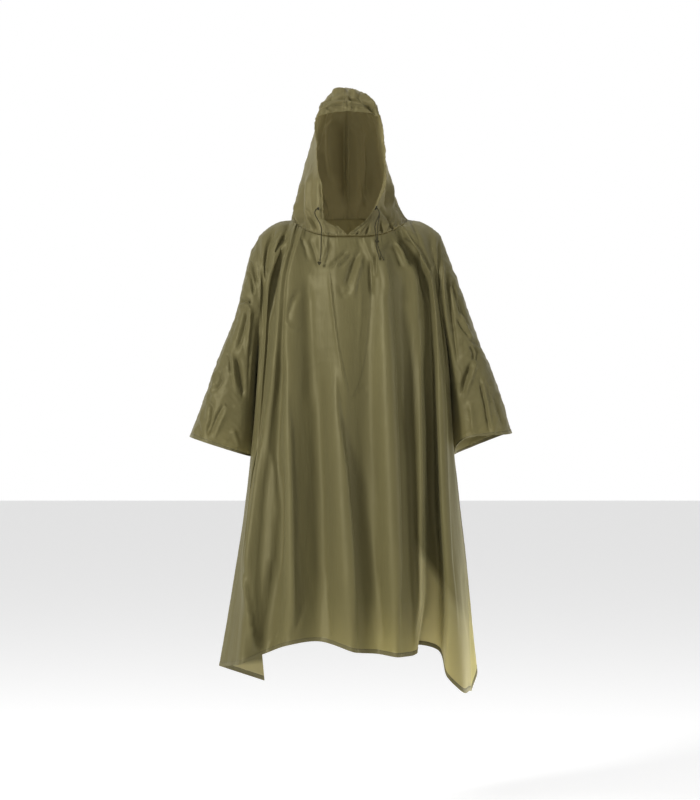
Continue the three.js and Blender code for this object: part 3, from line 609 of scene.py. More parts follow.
# Creases, by where they show in the photo: name, line in pixels, width in pixels, depth in mm, lean.
# A depth below 0 is a trough. Those of the back and of hidden sides are as seen from that side.
FRONT_CREASES = [
    ("neck to flap, upper", [(349, 249), (340, 257), (328, 268)], 1.7, -2.6),
    ("neck to flap, between", [(347, 254), (334, 266)], 1.3, 1.6),
    ("neck to flap, lower", [(354, 252), (347, 259), (337, 268)], 1.6, -2.4),
    ("under the chin", [(360, 248), (354, 265), (350, 277), (346, 289)], 2.8, -3.2, 0.3),
    ("under the chin, lit side", [(364, 252), (359, 268), (355, 284), (352, 300)], 2.2, 2.0),
    ("chin right, short", [(376, 250), (375, 262), (375, 279)], 1.7, -2.4),
    ("chin right, long", [(369, 255), (370, 275), (371, 298)], 2.0, -2.2, -0.3),
    ("chin right, lit", [(383, 246), (386, 268), (388, 300)], 4.0, 2.6),
    ("neck left, first", [(300, 234), (305, 246), (309, 262)], 1.7, -1.8),
    ("neck left, second", [(309, 238), (314, 250), (318, 268)], 1.6, -1.6),
    ("neck left, third", [(331, 241), (327, 252), (323, 262)], 1.5, -1.6),
    ("chest hollow in the flap", [(338, 284), (343, 296), (351, 289)], 2.4, -1.6),
    ("flap's left side", [(327, 262), (330, 276), (333, 305), (338, 345), (345, 385),
                          (350, 400)], 1.4, 1.6, 0.5),
    ("off the flap's tip", [(351, 400), (359, 393), (369, 385)], 1.3, -1.3),
    ("left shoulder, deep", [(294, 233), (284, 250), (277, 269), (273, 295), (271, 325)], 2.6, -4.2, 0.2),
    ("left shoulder, ridge", [(290, 236), (279, 253), (270, 275), (266, 300)], 1.8, 2.4),
    ("left shoulder, short", [(287, 234), (280, 245), (273, 256)], 1.5, -2.4),
    ("left shoulder, outer", [(275, 226), (268, 246), (265, 266), (266, 288)], 2.0, -3.0),
    ("left shoulder, fine", [(282, 229), (274, 241), (270, 252)], 1.2, -1.4),
    ("left side seam fold", [(258, 246), (262, 268), (262, 296), (261, 320),
                             (253, 400), (249, 450)], 1.8, -2.6),
    ("left cup, dark", [(300, 288), (293, 300), (288, 314), (288, 326)], 2.8, -2.4, -0.2),
    ("left cup, rim", [(284, 318), (289, 327), (296, 330), (303, 325)], 2.0, 1.3),
    ("left flank, long", [(284, 340), (281, 400), (277, 450), (273, 500)], 3.2, -2.6),
    ("left flank, lit", [(276, 330), (273, 390), (268, 440), (262, 500)], 2.6, 2.4),
    ("chest left hollow", [(304, 262), (309, 300), (311, 350), (311, 420)], 6.0, -4.0, 0.3),
    ("right shoulder, deep", [(397, 236), (408, 243), (417, 253), (423, 275), (427, 304)], 2.4, -4.2, 0.2),
    ("right shoulder, ridge", [(402, 235), (413, 246), (421, 260), (427, 284)], 1.6, 2.6),
    ("right shoulder, outer", [(406, 230), (418, 243), (428, 263), (431, 280)], 1.9, -3.0),
    ("right neck, first", [(391, 243), (397, 254), (402, 270)], 1.7, -2.6),
    ("right neck, second", [(398, 239), (406, 251), (413, 268)], 1.7, -2.8),
    ("right neck, third", [(404, 236), (414, 248), (421, 264)], 1.6, -2.4),
    ("right neck, lit", [(395, 240), (402, 252), (408, 270)], 1.5, 2.0),
    ("right armhole fold", [(438, 236), (440, 258), (439, 280), (437, 298)], 1.5, -2.4),
    ("right shoulder, plump", [(431, 240), (434, 258), (434, 276)], 2.6, 1.8),
    ("right dart's lower lip", [(424, 303), (421, 330), (420, 370), (421, 450), (423, 548)], 1.7, 2.4),
    ("right dart's dark side", [(428, 312), (427, 370), (430, 460), (433, 560)], 3.2, -3.6),
    ("right dark panel", [(403, 262), (403, 330), (405, 400), (409, 470)], 4.5, -3.0),
    ("left ridge", [(287, 380), (290, 430), (292, 500), (293, 570), (294, 648)], 4.4, 5.2, 0.6),
    ("left trough", [(314, 330), (318, 400), (320, 460), (322, 520), (323, 590), (324, 635)], 7.0, -4.2),
    ("middle ridge", [(334, 360), (338, 400), (345, 470), (350, 550), (356, 648)], 9.0, 7.5, 0.8),
    ("middle trough", [(362, 440), (368, 500), (374, 570), (378, 620)], 5.0, -2.2, 0.3),
    ("right ridge", [(390, 270), (392, 400), (395, 480), (397, 560), (399, 650)], 9.0, 7.5, 0.8),
    ("right trough", [(408, 300), (409, 400), (411, 470), (413, 540), (416, 600),
                      (418, 648)], 5.0, -4.0, 0.3),
    ("left flank ridge", [(261, 430), (256, 480), (249, 545), (244, 590)], 3.2, 3.0),
    ("left flank dark", [(269, 440), (265, 500), (261, 560), (259, 632)], 3.0, -3.4),
    ("left flank small ridge", [(277, 440), (273, 500), (270, 555), (264, 605)], 1.8, 2.4),
    ("left flank second dark", [(285, 440), (284, 500), (281, 560), (268, 630)], 2.6, -3.0),
    ("left flank crest", [(259, 430), (254, 500), (249, 560), (247, 600)], 4.0, 3.4, 0.4),
    ("left hem edge", [(245, 566), (248, 600), (252, 630), (256, 655)], 2.4, 4.4, 0.7),
    ("left loop", [(268, 436), (275, 470), (277, 510), (273, 552), (263, 594)], 1.8, 3.0, 0.4),
    ("left hem slant", [(283, 612), (276, 630), (268, 648)], 2.0, -1.8),
    ("left low hollow", [(275, 560), (270, 600), (266, 640), (263, 660)], 6.0, -4.4, 0.3),
    ("left hem second slant", [(305, 600), (298, 622), (290, 640)], 2.4, -1.6),
    ("hem middle, left", [(325, 560), (327, 600), (330, 645)], 3.0, -1.8),
    ("hem middle, right", [(380, 560), (381, 600), (383, 650)], 3.0, -1.6),
    ("lobe's fold", [(462, 560), (465, 610), (470, 640), (474, 662)], 2.2, -3.0, -0.4),
    ("lobe's lit ridge", [(440, 330), (445, 480), (449, 560), (455, 620), (460, 680)], 3.6, 4.6, 0.3),
]
BACK_CREASES = [
    ("left shoulder, deep", [(262, 232), (272, 256), (280, 290), (284, 330)], 2.4, -3.4),
    ("left shoulder, ridge", [(270, 232), (280, 254), (288, 288), (291, 320)], 1.9, 2.4),
    ("left shoulder, short", [(281, 230), (289, 246), (294, 262)], 1.5, -2.0),
    ("neck left", [(312, 222), (318, 240), (322, 262)], 1.6, -2.0),
    ("neck middle left", [(330, 220), (333, 236), (334, 258)], 1.7, -2.2),
    ("neck middle", [(349, 219), (348, 240), (346, 275)], 1.9, -2.2),
    ("neck middle right", [(366, 220), (368, 238), (371, 262)], 1.6, -2.0),
    ("neck right", [(384, 222), (381, 240), (379, 266)], 1.7, -2.2),
    ("right shoulder, short", [(409, 229), (404, 246), (401, 268)], 1.5, -2.2),
    ("right shoulder, deep", [(432, 233), (424, 258), (419, 288), (417, 336)], 2.5, -3.6),
    ("right shoulder, ridge", [(425, 231), (415, 256), (409, 286), (407, 322)], 1.8, 2.4),
    ("left trough", [(300, 330), (297, 430), (292, 540), (288, 640)], 4.2, -3.4),
    ("left ridge", [(318, 350), (316, 450), (313, 550), (310, 640)], 3.4, 3.2, 0.4),
    ("middle left trough", [(334, 380), (332, 480), (330, 560), (329, 636)], 3.6, -2.8),
    ("middle ridge", [(352, 340), (354, 440), (355, 540), (356, 636)], 3.2, 3.2, -0.5),
    ("middle right trough", [(370, 400), (373, 500), (376, 580), (378, 636)], 3.6, -2.8),
    ("right ridge", [(391, 360), (396, 460), (401, 560), (405, 640)], 3.2, 3.0, 0.4),
    ("right trough", [(412, 380), (419, 470), (426, 560), (431, 640)], 3.8, -3.2),
    ("right flank", [(437, 440), (446, 520), (453, 590), (458, 650)], 2.8, -2.6),
    ("left flank", [(272, 440), (264, 520), (258, 590), (254, 650)], 2.8, -2.6),
]
LEFT_SLEEVE_CREASES = [
    ("wedge", [(236, 354), (240, 376), (244, 400)], 2.4, -4.4, -0.3),
    ("wedge's lit side", [(232, 352), (234, 374), (237, 396)], 1.8, 2.2),
    ("upper valley", [(246, 306), (242, 330), (237, 352)], 2.2, -3.4),
    ("upper ridge", [(251, 304), (249, 330), (246, 360)], 2.2, 2.4),
    ("shoulder nick", [(248, 258), (252, 268), (257, 284)], 1.4, -2.4),
    ("shoulder nick, second", [(246, 268), (250, 277), (254, 296)], 1.3, -2.0),
    ("cross wrinkle", [(239, 302), (245, 300), (252, 303)], 1.3, -2.0),
    ("cross wrinkle, lit", [(238, 306), (245, 305), (252, 308)], 1.2, 1.5),
    ("slant to the cuff", [(225, 402), (216, 419), (208, 438)], 1.6, -2.4),
    ("slant's lit side", [(229, 405), (220, 424), (213, 441)], 1.8, 1.8),
    ("outer wrinkle", [(219, 366), (221, 380), (213, 393)], 1.5, -2.2),
    ("outer wrinkle, lower", [(206, 398), (212, 406), (211, 420), (206, 434)], 1.5, -2.2),
    ("outer wrinkle, lit", [(214, 368), (214, 384), (208, 396)], 1.6, 1.7),
    ("short cross", [(224, 404), (229, 406), (235, 405)], 1.2, -1.5),
    ("elbow", [(226, 350), (230, 362), (231, 374)], 1.5, -2.0),
    ("cuff left", [(197, 420), (199, 430), (203, 440)], 1.6, -1.8),
    ("cuff middle", [(232, 428), (236, 438), (240, 450)], 2.2, 1.6),
    ("inner long", [(252, 330), (250, 370), (249, 410), (248, 450)], 1.8, -2.2),
]
RIGHT_SLEEVE_CREASES = [
    ("wedge", [(472, 360), (466, 378), (459, 398)], 2.2, -4.4, 0.3),
    ("wedge's lit side", [(477, 362), (471, 380), (464, 400)], 1.8, 2.2),
    ("knot of wrinkles", [(470, 345), (474, 352), (473, 362)], 1.4, -2.6),
    ("knot of wrinkles, second", [(475, 344), (478, 352), (477, 362)], 1.2, -2.2),
    ("long crease", [(479, 374), (485, 404), (491, 438)], 1.2, -2.6, 0.4),
    ("long crease, lit side", [(482, 374), (488, 404), (494, 436)], 1.3, 1.6),
    ("armhole ridge", [(441, 250), (444, 290), (448, 330), (453, 380)], 2.0, 2.2),
    ("armhole valley", [(446, 262), (450, 300), (455, 345), (458, 372)], 2.0, -2.4),
    ("outer wrinkle", [(452, 276), (457, 298), (462, 318)], 1.4, -2.0),
    ("outer wrinkle, second", [(458, 294), (463, 310), (469, 326)], 1.3, -1.8),
    ("outer wrinkle, third", [(456, 316), (462, 327), (471, 338)], 1.3, -1.9),
    ("outer, lit", [(460, 312), (467, 328), (475, 344)], 1.6, 1.6),
    ("elbow cross", [(468, 338), (476, 342), (483, 349)], 1.2, -1.8),
    ("cuff outer", [(494, 392), (499, 410), (504, 428)], 1.8, -2.0),
    ("cuff middle", [(470, 400), (472, 418), (474, 438)], 2.4, 1.8),
    ("inner long", [(457, 380), (458, 410), (459, 438)], 1.8, -2.0),
]
# On the sleeves' hidden sides, as seen from behind
SLEEVE_BACK_CREASES = [
    ("wedge", [(462, 352), (458, 372), (452, 392)], 2.3, -3.6),
    ("wedge's lit side", [(467, 354), (463, 374), (457, 394)], 1.8, 2.0),
    ("long", [(466, 310), (474, 350), (484, 396), (492, 430)], 1.6, -2.4, 0.3),
    ("shoulder", [(446, 256), (452, 276), (458, 298)], 1.5, -2.2),
    ("cross", [(470, 380), (478, 386), (487, 386)], 1.3, -1.6),
    ("wedge, other side", [(238, 350), (243, 372), (246, 396)], 2.3, -3.6),
    ("wedge's lit side, other side", [(233, 352), (238, 374), (241, 398)], 1.8, 2.0),
    ("long, other side", [(236, 312), (228, 350), (218, 394), (208, 430)], 1.6, -2.4, 0.3),
    ("shoulder, other side", [(256, 256), (250, 278), (244, 300)], 1.5, -2.2),
    ("cross, other side", [(232, 372), (224, 380), (216, 378)], 1.3, -1.6),
]
HOOD_CREASES = [
    ("left strip, lit", [(311, 168), (309, 192), (309, 212), (313, 234)], 2.6, 2.6, 0.3),
    ("left strip, dark", [(303, 176), (301, 192), (300, 210), (303, 230)], 2.2, -3.0),
    ("left outer, lit", [(296, 200), (295, 212), (297, 226)], 1.8, 1.4),
    ("left rim hollow", [(317, 172), (318, 192), (319, 208), (322, 228)], 1.8, -2.4),
    ("left neck, first", [(307, 205), (311, 218), (318, 232)], 1.4, -1.8),
    ("left neck, second", [(292, 206), (294, 218), (298, 228)], 1.4, -1.8),
    ("right rim, lit", [(389, 165), (391, 186), (392, 210)], 1.5, 2.4),
    ("right rim hollow", [(386, 178), (388, 192), (386, 210)], 1.3, -2.2),
    ("right outer, dark", [(395, 178), (397, 196), (399, 214)], 1.7, -2.6),
    ("right neck, first", [(388, 214), (391, 224), (396, 234)], 1.3, -2.0),
    ("right neck, second", [(381, 218), (382, 228), (386, 240)], 1.3, -2.0),
    ("right neck, third", [(370, 224), (367, 233), (362, 242)], 1.2, -1.8),
    ("right neck, fourth", [(360, 230), (355, 238), (350, 243)], 1.2, -1.6),
    ("right eyelet fold", [(379, 206), (385, 214), (394, 220)], 1.3, -1.6),
    ("crown, first", [(316, 104), (328, 98), (343, 96), (358, 99), (368, 104)], 1.5, -3.0, 0.3),
    ("crown, second", [(322, 108), (335, 103), (348, 102), (362, 105), (374, 110)], 1.2, 2.4),
    ("crown, top", [(328, 95), (338, 91), (350, 91), (360, 95)], 1.4, 2.4),
    ("crown, right slant", [(354, 93), (363, 100), (372, 109), (379, 117)], 1.5, -2.8),
    ("crown, right slant lit", [(360, 92), (369, 99), (377, 109)], 1.4, 2.2),
    ("crown, left slant", [(334, 92), (324, 100), (318, 108)], 1.4, -2.4),
    ("brow pucker, left", [(326, 106), (330, 109), (336, 111)], 1.1, -1.8),
    ("brow pucker, middle", [(343, 103), (346, 106), (352, 109)], 1.2, 2.0),
    ("brow pucker, right", [(362, 104), (368, 108), (376, 112)], 1.1, -1.8),
    ("temple left", [(314, 116), (309, 128), (306, 142)], 1.4, -2.0),
    ("temple right", [(383, 124), (387, 138), (388, 152)], 1.3, -1.8),
]
# The hood's far wall, seen through the face opening
HOOD_FAR_CREASES = [
    ("light fold", [(333, 112), (332, 150), (334, 190)], 5.0, 4.0),
    ("middle fold", [(343, 112), (343, 160), (345, 210)], 4.0, -3.5),
    ("right fold", [(356, 115), (357, 160), (356, 215)], 5.0, 3.0),
    ("far right fold", [(370, 125), (371, 165), (367, 205)], 4.5, -3.0),
]
HOOD_BACK_CREASES = [
    ("crown left", [(322, 108), (318, 126), (315, 150)], 1.8, -2.6),
    ("crown left, lit", [(328, 106), (325, 126), (322, 152)], 1.8, 2.2),
    ("crown right", [(374, 108), (380, 128), (384, 152)], 1.8, -2.6),
    ("nape left", [(306, 180), (312, 198), (322, 214)], 1.7, -2.6),
    ("nape middle", [(340, 176), (337, 194), (335, 212)], 1.6, -2.2),
    ("nape right", [(385, 176), (380, 196), (370, 214)], 1.7, -2.6),
    ("nape far right", [(398, 190), (396, 204), (392, 216)], 1.5, -2.0),
]


def arc_lengths(grid, axis):
    """How far each point is down its line from the line's start."""
    steps = np.linalg.norm(np.diff(grid, axis=axis), axis=-1)
    zero = np.zeros_like(np.take(steps, [0], axis))
    return np.concatenate([zero, np.cumsum(steps, axis)], axis)


def read_line(at, places, values):
    """A line's values, which are given at places along it, at other places."""
    return np.stack([np.interp(at, places, values[:, k]) for k in range(3)], -1)


def smooth_curve(points, steps):
    """A smooth curve through points, with so many steps from each to the next."""
    points = np.asarray(points, float)
    shares = np.linspace(0, 1, steps, endpoint=False)
    return np.array([
        *(catmull(points, i, f) for i in range(len(points) - 1) for f in shares), points[-1],
    ])


def ripple(distance, wavelength, seed):
    """Irregular pleats along a line, about one high, with narrow troughs."""
    rng = np.random.default_rng(seed)
    phase = rng.uniform(0, 2 * np.pi, 4)
    s = 2 * np.pi * distance / wavelength
    bent = s + 0.9 * np.sin(0.31 * s + phase[0]) + 0.5 * np.sin(0.73 * s + phase[1])
    height = 1 - 2 * np.abs(np.sin(0.5 * bent + phase[2])) ** 0.8
    return height * (0.65 + 0.35 * np.sin(0.19 * s + phase[3]))


def rise_and_fall(distance, peak):
    """0 at 0, 1 at the peak, and fading beyond it."""
    f = distance / peak
    return f * np.exp(1 - f)


def hem_shape(distance, along, seed):
    """A turned hem: a doubled band by the edge, puckered by its stitching."""
    band = np.clip((HEM - distance) / 1.2, 0, 1)
    pucker = ripple(along, 15, seed) * np.exp(-(((distance - HEM) / 7) ** 2))
    return 0.55 * band + 0.5 * pucker


# Panels
def neck_gathers(grid, depth, seed):
    """The cloth is gathered into the neck seam: pleats that fade downwards."""
    down = arc_lengths(grid, 0)
    across = arc_lengths(grid[:1], 1)
    on_neck = np.clip((NECK_SIDE_X + 14 - np.abs(grid[:1, :, 0])) / 20, 0, 1)
    long_ones = ripple(across, 31, seed) * rise_and_fall(down, 26)
    short_ones = ripple(across, 13, seed + 1) * rise_and_fall(down, 10)
    return depth * on_neck * (long_ones + 0.6 * short_ones)


def panel(folds, cells_each, front, creases, seed):
    """A panel's outer points and its outward normals, columns from the left seam to the right."""
    grid = panel_grid(folds, cells_each, front)
    outward = 1 if front else -1
    normals = outward * normals_of(grid)
    lift = STRENGTH * creased(grid, normals, creases, -1 if front else 1, not front)
    lift += neck_gathers(grid, 2.3, seed)
    high = np.clip((grid[..., 2] + 420) / 300, 0, 1)
    # Small folds, deeper high up, and soft ones that run down the cloth
    lift += (0.25 + 0.45 * high) * crumple(grid, 34, seed + 2)
    lift += (0.5 + 0.2 * high) * crumple(grid * [1, 1, 0.35], 22, seed + 3, False)
    # Fine puckers beside the top seam, and the seam's own thickness
    down = arc_lengths(grid, 0)
    lift += 0.9 * ripple(arc_lengths(grid[:1], 1), 9, seed + 6) * rise_and_fall(down, 6)
    lift += 0.8 * rise_and_fall(down, 5)
    lift *= np.clip(down / 3, 0, 1)
    lift += hem_shape(down[-1:] - down, arc_lengths(grid, 1), seed + 4)
    # The side seams stay straight
    columns = np.arange(grid.shape[1])
    beside_seam = np.clip(np.minimum(columns, columns[-1] - columns) / 7, 0, 1)
    grid = grid + (lift * beside_seam)[..., None] * normals
    return grid, outward * normals_of(grid)


def panel_object(name, grid, normals, front):
    """The panel as a shell. Its seams are squared and just off the next piece's."""
    grid, normals = grid.copy(), normals.copy()
    off = -0.05 if front else 0.05
    seam = np.abs(grid[0, :, 0]) >= NECK_SIDE_X - 1
    grid[0, seam, 1] += off
    grid[:, [0, -1], 1] += off
    for c in (0, -1):
        normals[1:ROWS_ABOVE, c, 0] = 0
        normals[ROWS_ABOVE:, c, 1] = 0
    normals[0, seam, 1] = 0
    inner = grid - CLOTH * unit(normals)
    hem_rows = np.arange(grid.shape[0] - 1 - HEM_CELLS, grid.shape[0] - 1)
    if not front:
        grid, inner = grid[:, ::-1], inner[:, ::-1]
    return mesh_object(name, grid, inner, False, hem_rows, [cloth if front else back_cloth, hem_cloth])


front_grid, front_normals = panel(FRONT_FOLDS, FRONT_CELLS, True, FRONT_CREASES, SEED)
back_grid, back_normals = panel(BACK_FOLDS, BACK_CELLS, False, BACK_CREASES, SEED + 10)
front = panel_object("front", front_grid, front_normals, True)
back = panel_object("back", back_grid, back_normals, False)


# Sleeves
def boxy(wave):
    """Makes a ring flatter in front and behind, with rounder corners."""
    return np.sign(wave) * np.abs(wave) ** SLEEVE_BOXINESS


def sleeve_grid(outer_line, cuff, creases, seed):
    """Rings from the armhole down to the cuff."""
    side = cuff["side"]
    column = 0 if side < 0 else -1
    armhole = np.concatenate(
        [front_grid[: ROWS_ABOVE + 1, column], back_grid[ROWS_ABOVE - 1 : 0 : -1, column]]
    )
    angle = (2 * np.pi * np.arange(len(armhole)) / len(armhole))[None]

    def ring(k):
        z = mix(SHOULDER_TIP_Z, outer_line[-1, 0], k)
        outer_x = smooth(outer_line[:, 0], outer_line[:, 1], z)
        clear = side * UNDERARM_CLEARANCE * np.minimum(5 * k, 1)
        inner_z = mix(UNDERARM_Z, cuff["inner_z"], k)
        beside = np.interp(-inner_z, -front_grid[:, column, 2], front_grid[:, column, 0])
        inner_x = mix(beside + clear, cuff["inner_x"], k * k)
        sine, cosine = boxy(np.sin(angle)), boxy(np.cos(angle))
        depth = -np.where(
            sine > 0, mix(ARMHOLE_FRONT, cuff["front"], k), mix(ARMHOLE_BACK, cuff["back"], k)
        )
        x = (outer_x + inner_x) / 2 + (outer_x - inner_x) / 2 * cosine
        height = (z + inner_z) / 2 + (z - inner_z) / 2 * cosine
        height = height + cuff["lift"] * k * k * np.maximum(sine, 0) * 0.5 * (1 - cosine)
        return np.stack([x, depth * sine, height + 0 * x], -1)

    hem_share = HEM / SLEEVE_LENGTH
    k = np.concatenate([
        np.linspace(0, 1 - hem_share, SLEEVE_ROWS - HEM_CELLS + 1),
        np.linspace(1 - hem_share, 1, HEM_CELLS + 1)[1:],
    ])[:, None]
    grid = ring(k) + (armhole - ring(np.zeros((1, 1)))[0])[None] * ((1 - k) ** 2)[..., None]
    grid[..., 0] += side * 0.1
    if side > 0:
        grid = grid[:, ::-1]
    normals = normals_of(grid, True)
    lift = 1.4 * STRENGTH * creased(grid, normals, creases, -1)
    lift += STRENGTH * creased(grid, normals, SLEEVE_BACK_CREASES, 1, True)
    # Small folds, coarse and fine
    lift += 1.6 * crumple(grid, 38, seed) + 0.9 * crumple(grid, 17, seed + 1)
    down = arc_lengths(grid, 0)
    # The side next to the body stays plain, so that it is clear of the body
    beside_body = np.clip(side * normals[..., 0] + 0.75, 0, 0.5) * 2
    lift *= np.clip(down / 14, 0, 1) * beside_body
    lift += hem_shape(down[-1:] - down, arc_lengths(grid, 1), seed + 2)
    return grid + lift[..., None] * normals


def sleeve(name, outer_line, cuff, creases, seed):
    grid = sleeve_grid(outer_line, cuff, creases, seed)
    normals = normals_of(grid, True)
    flat = normals.copy()
    flat[0, :, 0] = 0
    hem_rows = np.arange(SLEEVE_ROWS - HEM_CELLS, SLEEVE_ROWS)
    obj = mesh_object(name, grid, grid - CLOTH * unit(flat), True, hem_rows, [sleeve_cloth, hem_cloth])
    return obj, grid, normals


sleeve_left, left_grid, left_normals = sleeve(
    "sleeve_l", LEFT_SLEEVE_OUTER, LEFT_CUFF, LEFT_SLEEVE_CREASES, SEED + 20
)
sleeve_right, right_grid, right_normals = sleeve(
    "sleeve_r", RIGHT_SLEEVE_OUTER, RIGHT_CUFF, RIGHT_SLEEVE_CREASES, SEED + 30
)


# Hood
def along_curve(points):
    """A smooth curve through points, read by its share of the length."""
    dense = smooth_curve(points, 40)
    lengths = arc_lengths(dense, 0)
    return lambda f: read_line(np.clip(f, 0, 1) * lengths[-1], lengths, dense)


def hood_curves(side):
    """A half's four edges: the face, the middle seam and the neck's front and back."""
    width = 1 if side < 0 else 2
    ends = (0, len(FACE_EDGE) - 1)
    face = [
        (HOOD_MIDDLE_X if i in ends else side * row[width], row[3], row[0])
        for i, row in enumerate(FACE_EDGE)
    ]
    middle = [(HOOD_MIDDLE_X, fore, height) for fore, height in HOOD_MIDDLE]
    turn = np.pi * np.arange(13) / 24
    necks = []
    for is_front, wave in ((True, np.sin), (False, np.cos)):
        x = side * NECK_SIDE_X * wave(turn)
        necks.append(along_curve(np.stack([x, *top_edge(x, is_front)], -1)))
    return along_curve(face), along_curve(middle), *necks


def hood_points(side, along, up):
    """Points of a hood half, along from the face to the back of the neck, up from the neck to the seam."""
    face, middle, neck_front, neck_back = hood_curves(side)
    along, up = np.asarray(along, float), np.asarray(up, float)
    one, none = np.ones_like(along), np.zeros_like(along)

    def patch(axis, rise, far):
        low = (1 - far) * neck_front(none)[..., axis] + far * neck_front(one)[..., axis]
        top = (1 - far) * face(one)[..., axis] + far * neck_back(one)[..., axis]
        return (
            (1 - far) * face(up)[..., axis] + far * neck_back(up)[..., axis]
            + (1 - rise) * (neck_front(along)[..., axis] - low)
            + rise * (middle(along)[..., axis] - top)
        )

    turn = np.pi * up / 2
    bulge = HOOD_BULGE[side] * np.sin(np.pi * along) * np.sin(np.pi * up) * 2 * (1 - up)
    rise = 1 - np.maximum(np.cos(turn), 0) ** HOOD_CROWN_POWER
    x = patch(0, rise, 1 - (1 - along) ** HOOD_BROW_POWER) + side * bulge
    return np.stack([x, patch(1, np.sin(turn), along), patch(2, np.sin(turn), along)], -1)


def hood_half(name, side, seed):
    up, along = np.meshgrid(
        np.linspace(1, 0, HOOD_ROWS + 1) ** 1.15, np.linspace(0, 1, HOOD_COLUMNS + 1) ** 1.5, indexing="ij"
    )
    grid = hood_points(side, along, up)[:, ::side]
    kept = np.interp(grid[..., 2], HOOD_CROWN[:, 0], HOOD_CROWN[:, 1])
    grid[..., 0] = mix(HOOD_MIDDLE_X, grid[..., 0], kept)
    normals = normals_of(grid)
    from_face = arc_lengths(grid[:, ::side], 1)[:, ::side]
    from_top = arc_lengths(grid, 0)
    # The neck edge runs along the last row and then up the back column
    back_column = -1 if side > 0 else 0
    from_back = np.abs(from_face - from_face[:, [back_column]])
    from_front = from_top[-1:] - from_top
    from_neck = np.minimum(from_front, from_back)
    along_neck = np.where(from_front < from_back, arc_lengths(grid, 1), from_top)
    lift = 1.4 * STRENGTH * creased(grid, normals, HOOD_CREASES, -1, False, 0.28)
    lift += 2 * STRENGTH * creased(grid, normals, HOOD_FAR_CREASES, 1)
    lift += STRENGTH * creased(grid, normals, HOOD_BACK_CREASES, 1, True)
    on_crown = np.clip((grid[..., 2] - 230) / 60, 0, 1)
    # Small folds, deeper on the crown, and gathers along the neck
    lift += (1.1 + 2.2 * on_crown) * crumple(grid, 36, seed)
    lift += (0.5 + 1.2 * on_crown) * crumple(grid, 16, seed + 1)
    lift += 2.2 * ripple(along_neck, 24, seed + 2) * rise_and_fall(from_neck, 18)
    lift += 1.3 * ripple(along_neck, 9, seed + 4) * rise_and_fall(from_neck, 6)
    lift *= np.clip(from_neck / 3, 0, 1) * np.clip(from_top / 7, 0.25, 1)
    # The casing of the drawcord along the face edge, drawn up a little
    casing = np.exp(-(((from_face - 6) / 5) ** 2))
    rim = np.exp(-((from_face / 4) ** 2))
    lift += casing * (1.6 + 1.3 * ripple(from_top, 12, seed + 3)) + rim * ripple(from_top, 17, seed + 5)
    lift *= np.clip(from_top / 3, 0, 1)
    # The seam's edge lies on the panels
    lift += np.exp(-from_neck / 5)
    grid = grid + lift[..., None] * normals
    shown = normals_of(grid)
    flat = shown.copy()
    flat[-1, :, 2] = 0
    flat[:, back_column, 2] = 0
    flat[0, :, 0] = 0
    grid[0, :, 0] = HOOD_MIDDLE_X - side * 0.3
    grid[-1, :, 2] -= 1.2
    grid[:-1, back_column, 2] -= 1.2
    obj = mesh_object(name, grid, grid - CLOTH * unit(flat), False, [], [hood_cloth, hem_cloth])
    return obj, grid, shown


hood_left, hood_l_grid, hood_l_normals = hood_half("hood_l", -1, SEED + 40)
hood_right, hood_r_grid, hood_r_normals = hood_half("hood_r", 1, SEED + 50)


# The flap over the neck opening: its edges' X down to its tip, on the front's points moved out
FLAP_EDGE = np.array([
    (-23, -66, 59), (-56, -60, 56), (-108, -50, 52), (-180, -42, 49), (-258, -31, 42),
    (-321, -17, 33), (-368, -6, 19), (-393, -1, 8),
], float)
FLAP_ROWS = 90
FLAP_COLUMNS = 60
FLAP_THICK = 0.5
FLAP_CREASES = [
    ("slit", [(359, 262), (358.7, 290), (357, 340), (355, 372)], 1.0, -1.5, 0.7),
    ("slit's lit side", [(361, 270), (361, 310), (359, 350)], 1.6, 0.8),
]


def on_front(x, z):
    """The front's points and normals at X and height, from its grid."""
    heights = front_grid[: ROWS_ABOVE + 40, front_grid.shape[1] // 2, 2]
    row = np.interp(-z, -heights, np.arange(len(heights)))
    r = np.clip(row.astype(int), 0, len(heights) - 2)
    middle = slice(front_grid.shape[1] // 3, 3 * front_grid.shape[1] // 4)

    def across(values, offset):
        lines = zip(x, front_grid[r + offset, middle], values[r + offset, middle])
        return np.stack([read_line(xs, p[:, 0], v) for xs, p, v in lines])

    f = (row - r)[:, None, None]
    points, normals = (mix(across(v, 0), across(v, 1), f) for v in (front_grid, front_normals))
    return points, unit(normals)


flap_heights = np.linspace(FLAP_EDGE[0, 0], FLAP_EDGE[-1, 0], FLAP_ROWS + 1)
flap_left = smooth(FLAP_EDGE[:, 0], FLAP_EDGE[:, 1], flap_heights)
flap_right = smooth(FLAP_EDGE[:, 0], FLAP_EDGE[:, 2], flap_heights)
shares = np.linspace(0, 1, FLAP_COLUMNS + 1)[None]
flap_x = mix(flap_left[:, None], flap_right[:, None], shares)
flap_grid, flap_normals = on_front(flap_x, flap_heights)
from_edge = np.minimum(flap_x - flap_left[:, None], flap_right[:, None] - flap_x)
flap_thick = 0.2 + (FLAP_THICK - 0.2) * np.clip(from_edge / 5, 0, 1)
flap_lift = 0.2 + flap_thick + creased(flap_grid, flap_normals, FLAP_CREASES).clip(-0.1, 0.8)
flap_outer = flap_grid + flap_lift[..., None] * flap_normals
flap_inner = flap_outer - flap_thick[..., None] * flap_normals
flap = mesh_object("flap", flap_outer, flap_inner, False, [], [cloth, hem_cloth])


